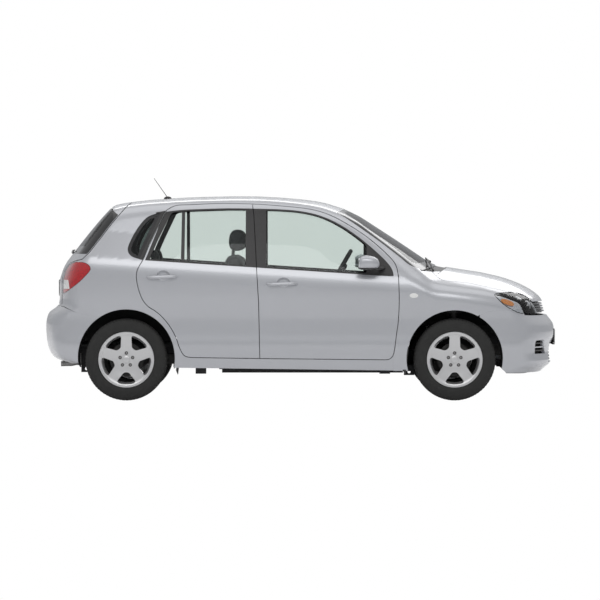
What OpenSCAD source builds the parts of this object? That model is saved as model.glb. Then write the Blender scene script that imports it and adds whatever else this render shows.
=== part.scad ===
// Five-door hatchback: body skin cut into real panels, opening doors, lids, wheels and running gear.
// Frame: +X to the front, +Y to the left, +Z up, origin on the ground at mid length.

/* [Body] */
// Length over both bumpers
overall_length = 3934; // [3750:1:4150]
// Width over the body sides, without mirrors
body_width = 1676; // [1600:1:1760]
// Height of the roof crown
roof_height = 1556; // [1500:1:1620]
// Thickness of a closed door
door_depth = 46; // [36:1:54]
// Thickness of roof, hood, fenders and bumpers
panel_depth = 26; // [18:1:32]
// Thickness of a fixed or hinged glass pane
glass_depth = 5; // [4:0.5:7]
// Shut gap round doors and lids
shut_gap = 5.4; // [5:0.1:7]

/* [Wheels] */
// Distance between the axles
wheelbase = 2490; // [2440:1:2540]
// Outer diameter of a tyre
tyre_dia = 622; // [590:1:640]
// Width of a tyre
tyre_width = 185; // [165:5:195]
// Bead seat diameter of a rim
rim_dia = 381; // [356:1:406]
// Distance between the tyre centres
track = 1468; // [1440:1:1480]
// Wheel nut circle
bolt_circle = 100; // [98:1:114.3]
// Radius of a wheel arch opening
arch_radius = 366; // [350:1:372]

/* [Cabin] */
// Outer diameter of the steering wheel
steering_dia = 370; // [350:1:390]
// Width of a front seat
seat_width = 500; // [460:10:520]

/* [Hidden] */

// Scale of the free-form skin along each axis
kx = overall_length / 3934;
ky = body_width / 1676;
kz = roof_height / 1556;
seat_gap = 0.3;
// Room between two curved shells that lie one under the other
shell_gap = 1.5;
roof_gap = 4;
half_gap = shut_gap / 2;
front_axle = 1167.5 * kx;
rear_axle = front_axle - wheelbase;
hub_z = tyre_dia / 2;
silver = [0.78, 0.79, 0.82];
trim = [0.15, 0.15, 0.15];

// ---- Body surface -------------------------------------------------------------------------
// Centre-line height from nose to tail
crown_line = [[-2100, 700], [-1810, 1052], [-1756, 1122], [-1639, 1270], [-1561, 1364], [-1475, 1458],
  [-1440, 1488], [-1343, 1507], [-1172, 1527], [-939, 1543], [-783, 1550], [-511, 1556], [-317, 1554],
  [-161, 1546], [-5, 1533], [111, 1519], [189, 1504], [267, 1480], [344, 1455], [461, 1399],
  [617, 1298], [772, 1197], [928, 1092], [1000, 1042], [1060, 1020], [1138, 1006], [1394, 967],
  [1550, 932], [1628, 907], [1706, 876], [1783, 835], [1838, 796], [1877, 757], [2100, 480]];
// Fall of the top skin 650 mm from the centre line
fall_line = [[-2000, 120], [-1750, 90], [-1343, 42], [-800, 44], [-100, 48], [344, 70], [700, 92],
  [1000, 104], [1140, 92], [1500, 96], [1900, 130]];
// Cosine of the crown slope
slope_line = [[-1700, 0.62], [-1480, 0.64], [-1400, 1], [200, 0.99], [350, 0.9], [461, 0.84], [950, 0.84],
  [1080, 0.98], [1500, 0.98], [1750, 0.88], [1900, 0.72]];
// Nose and tail of the centre line by height
nose_line = [[0, 1700], [150, 1800], [205, 1862], [236, 1892], [259, 1926], [290, 1944], [360, 1934],
  [430, 1944], [470, 1962], [516, 1966], [570, 1958], [600, 1938], [640, 1904], [700, 1893], [1100, 1893]];
tail_line = [[0, -1640], [200, -1700], [263, -1745], [290, -1857], [314, -1903], [353, -1934],
  [391, -1950], [450, -1962], [520, -1968], [580, -1969], [625, -1960], [664, -1944], [686, -1910],
  [712, -1872], [760, -1864], [905, -1864], [960, -1855], [1200, -1848], [1600, -1848]];
// Half width of the lower body by height, and of the upper body by height above the belt line
flank_line = [[0, 770], [170, 795], [230, 812], [318, 822], [400, 836], [440, 837], [505, 829],
  [620, 826], [720, 831], [800, 836], [870, 838], [2000, 838]];
upper_line = [[-900, 838], [-130, 838], [-85, 836], [-40, 829], [0, 815], [60, 794], [200, 744],
  [400, 664], [480, 624], [560, 575], [900, 380]];
// Narrowing of the lower and the upper body towards both ends
taper_line = [[-2100, 190], [-1900, 112], [-1750, 62], [-1600, 30], [-1450, 12], [-1300, 4], [-1100, 0],
  [1170, 0], [1300, 5], [1450, 20], [1600, 45], [1750, 84], [1900, 146], [2100, 260]];
upper_taper_line = [[-1800, 66], [-1500, 40], [-1200, 18], [-900, 4], [0, 0], [500, 8], [900, 30]];

function belt_z(x) = 987 - 0.066 * x;
function smax(a, b, k) = max(a, b) + pow(max(k - abs(a - b), 0), 2) / (4 * k);
function flank(x, z) = let (u = z - belt_z(x))
  min(lookup(z, flank_line), lookup(u, upper_line)) - lookup(x, taper_line)
  - lookup(x, upper_taper_line) * min(max(u / 200, 0), 1);
function top_z(x, y) = lookup(x, crown_line) - lookup(x, fall_line) * pow(abs(y) / 650, 2.2);
function nose_x(y, z) = lookup(z, nose_line) - 250 * pow(abs(y) / 800, 2.6);
function tail_x(y, z) = lookup(z, tail_line) + 130 * pow(abs(y) / 800, 3);
// Signed distance from the skin, negative inside
function skin(x, y, z) = smax(smax(abs(y) - flank(x, z), (z - top_z(x, y)) * lookup(x, slope_line), 90),
  max(max(x - nose_x(y, z), tail_x(y, z) - x), 60 - z), 60);

// Rays that map the skin: they start on a core box and fan out at its edges
core_y = 420;
core_z = 190;
core_front = 1590;
core_rear = -1550;
function core_top(x) = lookup(x, crown_line) - 255;
climb = [0, 0.06, 0.11, 0.16, 0.22, 0.3, 0.42, 0.54, 0.64, 0.75, 0.87, 1];
fine_ring = concat([[0, 0, -90], [1, 0, -90], [1, 0, -45]], [for (t = climb) [1, t, 0]],
  [for (a = [11, 22, 31, 41, 54, 71]) [1, 1, a]], [for (s = [1:-0.25:0]) [s, 1, 90]]);
coarse_ring = concat([[0, 0, -90], [1, 0, -90]], [for (t = [0, 0.11, 0.22, 0.42, 0.7, 1]) [1, t, 0]],
  [for (a = [20, 40, 65]) [1, 1, a]], [for (s = [1:-0.5:0]) [s, 1, 90]]);
// The right half of a ring, mirrored to close it: share of core width, share of core height, direction
function whole_ring(half) = concat([for (r = half) [r[0], r[1], cos(r[2]), sin(r[2])]],
  [for (i = [len(half) - 2:-1:1]) let (r = half[i]) [-r[0], r[1], -cos(r[2]), sin(r[2])]]);
// Each loop: station, lean towards an end, shrink of the core ring
function loop_list(count) = concat([for (s = [0.2, 0.6]) [core_rear, -90, s]],
  [for (a = [-90:25:-15]) [core_rear, a, 1]],
  [for (i = [0:count]) [core_rear + (core_front - core_rear) * i / count, 0, 1]],
  [for (a = [15:25:90]) [core_front, a, 1]], [for (s = [0.6, 0.2]) [core_front, 90, s]]);

function shoot(o, d, inset, lo, hi, n) = let (m = (lo + hi) / 2, p = o + d * m)
  n == 0 ? p : skin(p[0], p[1], p[2]) + inset > 0 ? shoot(o, d, inset, lo, m, n - 1)
  : shoot(o, d, inset, m, hi, n - 1);
function ray(l, r, inset) = let (zt = core_top(l[0]), zm = (core_z + zt) / 2,
  o = [l[0], r[0] * core_y * l[2], zm + (core_z + r[1] * (zt - core_z) - zm) * l[2]],
  d = [sin(l[1]), cos(l[1]) * r[2], cos(l[1]) * r[3]]) shoot(o, d, inset, 0, 900, 13);

// The whole body as a solid whose skin lies the given distance inside
module hull_body(inset) {
  near_skin = inset < 12;
  ring = whole_ring(near_skin ? fine_ring : coarse_ring);
  loops = loop_list(near_skin ? 38 : 22);
  n = len(ring);
  m = len(loops);
  pts = concat([for (l = loops, r = ring) ray(l, r, inset)],
    [ray([core_rear, -90, 0], ring[0], inset), ray([core_front, 90, 0], ring[0], inset)]);
  faces = concat(
    [for (i = [0:m - 2], j = [0:n - 1]) let (a = i * n + j, b = i * n + (j + 1) % n)
      each [[a, a + n, b], [b, a + n, b + n]]],
    [for (j = [0:n - 1]) [j, (j + 1) % n, m * n]],
    [for (j = [0:n - 1]) [(m - 1) * n + j, m * n + 1, (m - 1) * n + (j + 1) % n]]);
  polyhedron(pts, faces);
}

// A shell of the skin between two depths
module layer(outer, inner) difference() {
  hull_body(outer);
  hull_body(inner);
}

// ---- Cutting outlines, seen from the left side in the X-Z plane -------------------------------
function curve(p, n = 3) = [for (i = [0:len(p) - 2], t = [0:n - 1])
  let (a = p[max(i - 1, 0)], b = p[i], c = p[i + 1], d = p[min(i + 2, len(p) - 1)], u = t / n)
  0.5 * ((2 * b) + (c - a) * u + (2 * a - 5 * b + 4 * c - d) * u * u + (3 * b - a - 3 * c + d) * u * u * u)];
roof_rail = curve([[-1020, 1446], [-951, 1480], [-838, 1487], [-611, 1496], [-369, 1492], [-157, 1478],
  [70, 1453], [222, 1408], [373, 1328], [524, 1226], [660, 1105], [721, 1029], [741, 938]], 2);
front_shut = curve([[741, 938], [746, 764], [740, 613], [725, 500], [705, 360], [676, 318], [640, 310]], 2);
split_line = [[-369, 1500], [-357, 1408], [-346, 1218], [-333, 976], [-319, 744], [-310, 325], [-310, 300]];
rear_shut = curve([[-800, 327], [-853, 331], [-890, 350], [-921, 409], [-944, 477], [-989, 560],
  [-1050, 636], [-1103, 681], [-1156, 715], [-1201, 772], [-1232, 860], [-1245, 946], [-1231, 1006],
  [-1194, 1071], [-1141, 1196], [-1065, 1355], [-1020, 1446]], 2);
glass_top = curve([[-1035, 1431], [-914, 1446], [-762, 1453], [-535, 1459], [-293, 1455], [-157, 1451],
  [-5, 1438], [146, 1404], [297, 1336], [449, 1234], [600, 1105], [680, 1018], [705, 960]], 2);
door_pair = concat(roof_rail, front_shut, [[640, 310], [-310, 320]], rear_shut);
window_band = concat(glass_top, [[704, 946], [676, 943], [-1180, 1064]]);
screen_side = curve([[267, 1434], [373, 1366], [449, 1313], [600, 1207], [751, 1090], [827, 1029],
  [918, 995]], 2);
hood_seam = curve([[1009, 969], [1062, 923], [1099, 909], [1175, 902], [1281, 891], [1395, 866], [1508, 842],
  [1600, 822]], 2);
lamp_outline = concat(curve([[1470, 802], [1485, 812], [1546, 819], [1622, 816], [1675, 804], [1724, 782],
  [1762, 744], [1795, 696], [1808, 662]], 2), curve([[1808, 656], [1735, 656], [1659, 663], [1584, 697],
  [1531, 735], [1493, 773], [1470, 799]], 2));
tail_lamp_outline = concat(curve([[-1812, 812], [-1812, 878], [-1804, 954], [-1785, 1000], [-1752, 1034],
  [-1708, 1050], [-1650, 1048], [-1608, 1030], [-1594, 1002], [-1606, 975], [-1670, 908], [-1746, 848],
  [-1812, 806]], 2));
bumper_seam = [[1357, 651], [1432, 677], [1508, 683], [1584, 683], [1659, 651], [1735, 644], [2000, 636]];
rear_seam = [[-2000, 726], [-1880, 722], [-1800, 712], [-1700, 668], [-1560, 640], [-1500, 640]];
gate_line = concat([[-1307, 1620], [-1307, 1499]], curve([[-1307, 1499], [-1383, 1408], [-1443, 1336],
  [-1519, 1234], [-1595, 1135], [-1625, 1104], [-1664, 1066]], 2), [[-1708, 1060], [-1760, 1042],
  [-1798, 1000], [-1818, 950], [-1824, 878], [-1824, 740], [-1824, 725]]);
sill_line = [[-980, 250], [-5, 238], [790, 227]];

// A prism through the body along Y from a side outline
module side_cut(outline, y0 = -950, y1 = 950) translate([0, y1, 0]) rotate([90, 0, 0])
  linear_extrude(y1 - y0) children();
// Free-form pieces stay one mesh
module free_form() resize([0, 0, 0]) scale([kx, ky, kz]) union() children();
module both_sides() {
  children();
  mirror([0, 1, 0]) children();
}
module shape(outline, grow = 0) offset(delta = grow) polygon(outline);

// ---- Skin panels ----------------------------------------------------------------------------
function edge_y(x, z) = shoot([x, 0, z], [0, 1, 0], 0, 0, 900, 13)[1];
function screen_top_x(y) = 344 - 77 * pow(y / 600, 2);
function screen_base_x(y) = 1045 - 127 * pow(y / 680, 2);
function hood_rear_x(y) = 1138 - 129 * pow(y / 660, 2);
arch_z = 320;
front_arch_x = front_axle / kx;
rear_arch_x = rear_axle / kx;
ditch_line = [[-1310, 548], [-1000, 572], [-500, 586], [0, 584], [267, 572], [400, 560]];
hood_half = concat([for (p = hood_seam) [p[0], edge_y(p[0], p[1])]], [[1640, 900], [2100, 900]]);
hood_back = [for (i = [-6:6]) let (y = i / 6 * hood_half[0][1]) [hood_rear_x(y), y]];
hood_plan = concat(hood_back, [for (p = hood_half) p], [for (i = [len(hood_half) - 1:-1:0])
  [hood_half[i][0], -hood_half[i][1]]]);
half_roof = [for (x = [-1307, -1000, -500, 0, 150, screen_top_x(560)]) [x, lookup(x, ditch_line)]];

module arch_holes(grow = 0) {
  translate([front_arch_x, arch_z]) circle(r = arch_radius + grow, $fn = 56);
  translate([rear_arch_x, arch_z + 4]) circle(r = arch_radius + 3 + grow, $fn = 56);
}
module above_seam() polygon(concat([[1200, 560]], bumper_seam, [[2000, 1200], [1200, 1200]]));
module plan_cut() translate([0, 0, 700]) linear_extrude(1200) children();

module door_shape(front) intersection() {
  shape(door_pair, -half_gap);
  shape(concat(split_line, front ? [[1000, 300], [1000, 1600], [-369, 1600]] : [[-1400, 300], [-1400, 1600],
    [-369, 1600]]), -half_gap);
}
module window_shape(front) intersection() {
  shape(window_band, -12);
  if (front) polygon([[-262, 900], [500, 900], [500, 1500], [-262, 1500]]);
  else intersection() {
    shape(door_pair, -42);
    polygon([[-1400, 900], [-418, 900], [-418, 1500], [-1400, 1500]]);
  }
}
// One side door with its window cut
module door(front) color(silver) free_form() difference() {
  intersection() {
    layer(0, door_depth);
    side_cut(y0 = 300) door_shape(front);
  }
  side_cut() window_shape(front);
  plan_cut() offset(delta = shut_gap) polygon(concat([for (p = half_roof) p], [[400, 0], [-1307, 0]]));
}
module door_glass(front) color([0.7, 0.78, 0.76, 0.5]) free_form() intersection() {
  layer(16, 16 + glass_depth);
  side_cut(y0 = 300) offset(delta = -seat_gap) window_shape(front);
}
quarter_outline = curve([[-1066, 1422], [-1103, 1418], [-1178, 1384], [-1254, 1287], [-1306, 1180],
  [-1310, 1130], [-1284, 1096], [-1236, 1078], [-1214, 1092], [-1160, 1210], [-1090, 1365],
  [-1066, 1422]], 2);
frame_depth = 70;

// Body side: pillars, roof rail, sill and rear quarter of both sides
module side_frames() color(silver) both_sides() free_form() {
  difference() {
    intersection() {
      layer(0, frame_depth);
      side_cut(y0 = 400) difference() {
        polygon(concat([[-2000, 560], [-2000, 1700], [262, 1700], [262, 1433.6]],
          [for (p = screen_side) [p[0], p[1] - seat_gap]], [[918, 983], [752, 983], [640, 600], [700, 400]],
          [[700, 229], sill_line[1], sill_line[0]]));
        offset(delta = half_gap) polygon(door_pair);
        polygon(quarter_outline);
        arch_holes();
        shape(tail_lamp_outline, seat_gap);
        shape(concat(gate_line, [[-2100, 725], [-2100, 1620]]), half_gap);
        polygon(concat(rear_seam, [[-1500, 0], [-2100, 0]]));
      }
    }
    intersection() {
      layer(-9, panel_depth + roof_gap);
      plan_cut() polygon(concat([for (p = half_roof) p], [[400, half_roof[5][1]], [400, 0], [-1307, 0]]));
    }
    plan_cut() square([4200, 940], center = true);
  }
  // Centre pillar behind the meeting line of the doors
  intersection() {
    layer(door_depth + shut_gap, 92);
    side_cut(y0 = 400) polygon([[-420, 1512], [-300, 1512], [-268, 980], [-238, 262], [-401, 262],
      [-384, 980]]);
  }
  // Hinge pillar ahead of the front door
  difference() {
    intersection() {
      layer(panel_depth + 4, 78);
      side_cut(y0 = 400) polygon([[690, 232], [690, 316], [749, 560], [752, 990], [830, 1010], [880, 985],
        [846, 700], [800, 520], [790, 232]]);
    }
    side_cut() offset(delta = half_gap) polygon(door_pair);
    side_cut() arch_holes(8);
  }
}

module fenders() color(silver) both_sides() free_form() difference() {
  intersection() {
    layer(0, panel_depth);
    side_cut(y0 = 300) difference() {
      polygon([[700.3, 226], [700.3, 340], [760, 600], [752, 982.7], [918, 982.7], [1009, 975], [1700, 975],
        [1700, 560], [1200, 560], [1000, 226]]);
      offset(delta = half_gap) polygon(door_pair);
      arch_holes();
      shape(lamp_outline, seat_gap);
      polygon(concat([[1200, 560]], [for (p = bumper_seam) [p[0], p[1] + seat_gap]], [[2000, 500]]));
    }
  }
  plan_cut() offset(delta = shut_gap) polygon(hood_plan);
}

module hood() color(silver) free_form() difference() {
  intersection() {
    layer(0, panel_depth);
    plan_cut() polygon(hood_plan);
    side_cut() polygon([[900, 700], [1470, 700], [1470, 760], [1762, 747], [2100, 747], [2100, 1200],
      [900, 1200]]);
  }
  side_cut() shape(lamp_outline, shut_gap);
}

module front_bumper() color(silver) free_form() difference() {
  intersection() {
    layer(0, panel_depth);
    side_cut() difference() {
      polygon(concat([[1357, 320], [1357, 651]], bumper_seam, [[2100, 640], [2100, 204], [1560, 210],
        [1500, 262]]));
      arch_holes();
      shape(lamp_outline, seat_gap);
    }
  }
  // Lower intake and the two fog lamp recesses
  front_cut() intake_shape();
}
module front_cut() translate([1500, 0, 0]) rotate([90, 0, 90]) linear_extrude(600) children();
module intake_shape() {
  offset(delta = 20) polygon([[-360, 300], [360, 300], [330, 400], [-330, 400]]);
  for (s = [-1, 1]) scale([s, 1]) polygon([[470, 350], [620, 350], [640, 452], [560, 452]]);
}

module grille() color(trim) free_form() {
  intersection() {
    layer(16, 40);
    side_cut() difference() {
      polygon([[1790, 662], [2000, 650], [2000, 741], [1740, 741]]);
      shape(lamp_outline, seat_gap);
    }
  }
  // Mesh panel behind the lower intake
  intersection() {
    layer(panel_depth + seat_gap, panel_depth + 12);
    front_cut() offset(delta = 30) intake_shape();
  }
}

module rear_bumper() color(silver) free_form() difference() {
  intersection() {
    layer(0, panel_depth);
    side_cut() difference() {
      polygon(concat([for (p = rear_seam) [p[0], p[1] - seat_gap - (p[0] < -1790 ? shut_gap : 0)]],
        [[-1500, 300], [-1690, 282], [-2100, 262], [-2100, 715]]));
      arch_holes();
    }
  }
  side_cut() shape(tail_lamp_outline, seat_gap);
}

module roof_panel() color(silver) free_form() intersection() {
  layer(0, panel_depth);
  plan_cut() offset(delta = -seat_gap) intersection() {
    translate([-1307 + half_gap, -900]) square([2000, 1800]);
    polygon(concat([for (p = half_roof) p], [for (i = [-4:4]) let (y = -i / 4 * 560) [screen_top_x(y), y]],
      [for (i = [len(half_roof) - 1:-1:0]) [half_roof[i][0], -half_roof[i][1]]]));
  }
}

module windscreen() color([0.7, 0.78, 0.76, 0.5]) free_form() intersection() {
  layer(1, 1 + glass_depth);
  plan_cut() polygon(concat([for (i = [-6:6]) let (y = i / 6 * 760) [screen_top_x(y) + seat_gap, y]],
    [for (i = [6:-1:-6]) let (y = i / 6 * 760) [screen_base_x(y), y]]));
  side_cut() polygon(concat([for (p = screen_side) p], [[930, 985], [1100, 980], [1100, 1700], [262, 1700],
    [262, 1434]]));
}

module cowl_panel() color(trim) free_form() intersection() {
  layer(8, 30);
  plan_cut() polygon(concat([for (i = [-6:6]) let (y = i / 6 * 690) [screen_base_x(y) + seat_gap, y]],
    [for (i = [6:-1:-6]) let (y = i / 6 * 690) [hood_rear_x(y) - shut_gap, y]]));
  side_cut() polygon([[880, 984], [918, 984], [1009, 977], [1150, 977], [1150, 1100], [880, 1100]]);
}

module gate_shape(grow) shape(concat(gate_line, [[-2100, 725], [-2100, 1620]]), grow);
module gate_glass_shape(grow) intersection() {
  gate_shape(-half_gap - 3 + grow);
  shape([[-1380, 1400], [-1428, 1440], [-1600, 1530], [-2000, 1530], [-2000, 1112], [-1600, 1112]], grow);
}
module gate_opening() intersection() {
  gate_shape(-60);
  polygon([[-1370, 1350], [-1400, 1420], [-1600, 1600], [-2000, 1500], [-2000, 1170], [-1500, 1170]]);
}
module tailgate() color(silver) free_form() difference() {
  intersection() {
    layer(0, door_depth);
    side_cut() gate_shape(-half_gap);
  }
  // Rebate that holds the glass flush
  intersection() {
    layer(-9, glass_depth + seat_gap);
    side_cut() gate_glass_shape(0);
  }
  side_cut() gate_opening();
}
module tailgate_glass() color([0.35, 0.4, 0.4, 0.7]) free_form() intersection() {
  layer(0, glass_depth);
  side_cut() gate_glass_shape(-seat_gap);
}
module quarter_glass() color([0.3, 0.34, 0.33, 0.8]) both_sides() free_form() intersection() {
  layer(4, 4 + glass_depth);
  side_cut(y0 = 400) shape(quarter_outline, -seat_gap);
}
module headlamps() color([0.9, 0.92, 0.93]) both_sides() free_form() intersection() {
  layer(0, 60);
  side_cut(y0 = 300) polygon(lamp_outline);
}
module tail_lamps() color([0.75, 0.1, 0.12]) both_sides() free_form() intersection() {
  layer(0, 55);
  side_cut(y0 = 300) polygon(tail_lamp_outline);
}

module arch_liners() color([0.08, 0.08, 0.08]) both_sides() free_form() {
  difference() {
    intersection() {
      hull_body(panel_depth + shell_gap);
      side_cut(y0 = 470) liner_ring(front_arch_x, arch_z, arch_radius);
    }
    // Passage of the strut tower
    translate([front_arch_x, strut_y, 600]) cylinder(r = tower_r + 6, h = 200, $fn = 32);
  }
  intersection() {
    hull_body(frame_depth + seat_gap);
    union() {
      side_cut(y0 = 556) liner_ring(rear_arch_x, arch_z + 4, arch_radius + 3);
      // Inner wall of the rear wheel house
      side_cut(y0 = 551, y1 = 558) intersection() {
        translate([rear_arch_x, arch_z + 4]) circle(r = arch_radius + 11, $fn = 56);
        translate([rear_arch_x - 400, 470.3]) square([800, 400]);
      }
    }
  }
}
module liner_ring(x, z, r) difference() {
  translate([x, z]) circle(r = r + 8, $fn = 56);
  translate([x, z]) circle(r = r + 2, $fn = 56);
  translate([x - 500, 0]) square([1000, 245]);
}

// ---- Structure under the skin ----------------------------------------------------------------
module block(x0, x1, y0, y1, z0, z1) translate([x0 * kx, y0 * ky, z0 * kz])
  cube([(x1 - x0) * kx, (y1 - y0) * ky, (z1 - z0) * kz]);
sill_inner = 732;
pad_x = [640, -760];
eye_radius = 12;
// Place of each pair of eyes: x, y, height of the hole, top of the plate
eyes = [[832, 420, 206, 236], [-1640, 500, 232, 350]];

module floor_pan() color([0.3, 0.31, 0.32]) difference() {
  union() {
    block(-620, 690, -sill_inner, sill_inner, 236, 256);
    block(690, 790, -sill_inner + 8, sill_inner - 8, 236, 256);
    block(790, 985, -460, 460, 236, 256);
    block(985, 1005, -460, 460, 236, 690);
    block(-600, 985, -110, 110, 256, 360);
    block(-620, -600, -sill_inner, sill_inner, 236, 420);
    block(-950, -620, -sill_inner, sill_inner, 400, 420);
    block(-1840, -950, -550, 550, 400, 420);
    // Jacking pads
    for (x = pad_x, s = [-1, 1]) block(x - 40, x + 40, s * 660 - 30, s * 660 + 30, 200, x < 0 ? 400 : 236);
  }
  // Hollow of the centre tunnel
  block(-590, 1010, -96, 96, 230, 346);
}
// Side rails under the floor, with a cross member at each end
module chassis_rails() color([0.26, 0.27, 0.28]) {
  for (s = [-1, 1]) {
    block(-1840, -620, s > 0 ? 470 : -530, s > 0 ? 530 : -470, 350, 400);
    block(1005, 1800, s > 0 ? 395 : -445, s > 0 ? 445 : -395, 420, 490);
    block(-600, 780, s > 0 ? 560 : -620, s > 0 ? 620 : -560, 206, 236);
  }
  block(1780, 1800, -460, 460, 410, 500);
  block(-1860, -1840, -500, 500, 378, 420);
}
// Plates with a hole for a hook, under the floor and under the rear rails
module lashing_eyes() color([0.26, 0.27, 0.28]) for (e = eyes, s = [-1, 1]) difference() {
  block(e[0] - 40, e[0] + 40, s * e[1] - 7, s * e[1] + 7, e[2] - 26, e[3]);
  translate([e[0] * kx, s * e[1] * ky, e[2] * kz]) rotate([90, 0, 0])
    cylinder(r = eye_radius, h = 60, center = true, $fn = 48);
}

module firewall() color([0.25, 0.26, 0.27]) free_form() intersection() {
  hull_body(frame_depth + 8 + seat_gap);
  translate([985, -760, 690.3]) cube([20, 1520, 286]);
}

module engine() color([0.35, 0.36, 0.38]) {
  block(1130, 1560, -330, 330, 330, 800);
  // Mounts that reach the two side rails
  for (s = [-1, 1]) block(1330, 1410, s > 0 ? 330 : -394.7, s > 0 ? 394.7 : -330, 425, 485);
}
module fuel_tank() color([0.12, 0.12, 0.13]) block(-985, -640, -180, 440, 232, 399.7);
module exhaust() color([0.5, 0.5, 0.5]) {
  translate([-1690 * kx, -250 * ky, 320 * kz]) rotate([90, 0, 0])
    cylinder(r = 70, h = 380, center = true, $fn = 48);
  translate([-1690 * kx, -380 * ky, 240 * kz]) rotate([0, -90, 0]) cylinder(r = 20, h = 190, $fn = 32);
  translate([-1690 * kx, -380 * ky, 236 * kz]) cylinder(r = 20, h = 60, $fn = 32);
}

// ---- Wheels and running gear. Wheel frame: axis along Z, outer face up, tyre centre at 0 --------
kingpin_y = 650;
strut_y = 588;
tower_r = 56;
spindle_r = 15;
running = 0.05;
rim_r = rim_dia / 2;
flange_z = 78;
bead = flange_z - seat_gap;
module on_hub(x, s) translate([x, s * track / 2, hub_z]) rotate([-90 * s, 0, 0]) children();

module tyre_part() color([0.13, 0.13, 0.13]) {
  w = tyre_width / 2;
  rotate_extrude($fn = 96) polygon([[rim_r + seat_gap, -bead], [rim_r + 13 + seat_gap, -bead],
    [rim_r + 16, -w * 0.95], [rim_r + 48, -w],
    [hub_z - 38, -w * 0.97], [hub_z - 14, -w * 0.88], [hub_z - 4, -w * 0.74], [hub_z, -w * 0.5],
    [hub_z, w * 0.5], [hub_z - 4, w * 0.74], [hub_z - 14, w * 0.88], [hub_z - 38, w * 0.97],
    [rim_r + 48, w], [rim_r + 16, w * 0.95], [rim_r + 13 + seat_gap, bead], [rim_r + seat_gap, bead]]);
}
module rim_part() color([0.8, 0.81, 0.83]) difference() {
  union() {
    rotate_extrude($fn = 96)
      polygon([[rim_r - 12, -flange_z], [rim_r, -flange_z], [rim_r, flange_z], [rim_r - 12, flange_z]]);
    // Flanges that hold the beads
    for (z = [-flange_z - 4.5, flange_z]) translate([0, 0, z]) difference() {
      cylinder(r = rim_r + 13, h = 4.5, $fn = 96);
      translate([0, 0, -1]) cylinder(r = rim_r - 12, h = 7, $fn = 96);
    }
    for (z = [-flange_z, flange_z - 3]) translate([0, 0, z]) difference() {
      cylinder(r = rim_r, h = 4, $fn = 96);
      translate([0, 0, -1]) cylinder(r = rim_r - 12, h = 6, $fn = 96);
    }
    // Spoke disc, hub and brake disc
    translate([0, 0, 46]) cylinder(r = rim_r - 8, h = 20, $fn = 96);
    translate([0, 0, -14]) cylinder(r = 62, h = 64, $fn = 64);
    translate([0, 0, -14]) cylinder(r = 128, h = 12, $fn = 64);
    for (i = [0:4]) rotate([0, 0, 90 + 72 * i]) translate([bolt_circle / 2, 0, 60])
      cylinder(r = 11, h = 14, $fn = 32);
  }
  for (i = [0:4]) rotate([0, 0, 126 + 72 * i]) translate([0, 0, 40]) linear_extrude(40)
    polygon([[88, -12], [88, 12], [104, 36], [rim_r - 28, 66], [rim_r - 18, 44], [rim_r - 14, 0],
      [rim_r - 18, -44], [rim_r - 28, -66], [104, -36]]);
  translate([0, 0, -20]) cylinder(r = spindle_r + running, h = 66, $fn = 48);
}
// Upright that carries a front hub, built for the left side
module knuckle_part() color([0.25, 0.25, 0.26]) {
  difference() {
    union() {
      translate([front_axle, track / 2 - 40, hub_z]) rotate([90, 0, 0]) cylinder(r = 46, h = 70, $fn = 48);
      translate([front_axle - 22, kingpin_y - 22, hub_z - 112]) cube([44, 44, 224]);
      translate([front_axle - 130, kingpin_y - 60, hub_z - 40]) cube([130, 24, 24]);
      translate([front_axle - 30, kingpin_y - 60, hub_z - 40]) cube([60, 60, 30]);
    }
    for (z = [-130, 80]) translate([front_axle, kingpin_y, hub_z + z])
      cylinder(r = 10 + running, h = 50, $fn = 48);
  }
  translate([front_axle, track / 2 + 36, hub_z]) rotate([90, 0, 0]) cylinder(r = spindle_r, h = 80, $fn = 48);
}
// Cross member, lower arms, struts and tie rods
module front_suspension() color([0.2, 0.2, 0.21]) {
  translate([front_axle - 110, -380 * ky, hub_z - 148]) cube([220, 760 * ky, 40]);
  both_sides() {
    translate([front_axle, 0, hub_z - 142]) linear_extrude(22)
      polygon([[-100, 379], [100, 379], [22, 640], [22, 672], [-22, 672], [-22, 640]]);
    translate([front_axle, kingpin_y, hub_z - 130]) cylinder(r = 10, h = 44, $fn = 48);
    translate([front_axle, strut_y, hub_z + 119]) cylinder(r = 24, h = 240, $fn = 48);
    translate([front_axle - 16, strut_y, hub_z + 119]) cube([32, 84, 16]);
    translate([front_axle, kingpin_y, hub_z + 86]) cylinder(r = 10, h = 40, $fn = 48);
    translate([front_axle, strut_y, hub_z + 350]) cylinder(r = tower_r, h = 110, $fn = 48);
    translate([front_axle - 60, 440 * ky, hub_z + 440]) cube([120, 190, 26]);
    translate([front_axle - 132, 300, hub_z - 30]) rotate([-90, 0, 0]) cylinder(r = 9, h = 200, $fn = 32);
    translate([front_axle - 132, 200, hub_z - 30]) rotate([-90, 0, 0]) cylinder(r = 24, h = 150, $fn = 32);
  }
  translate([front_axle - 132, -210, hub_z - 30]) rotate([-90, 0, 0]) cylinder(r = 24, h = 420, $fn = 32);
  translate([front_axle - 150, -200, hub_z - 110]) cube([60, 400, 70]);
}
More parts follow.
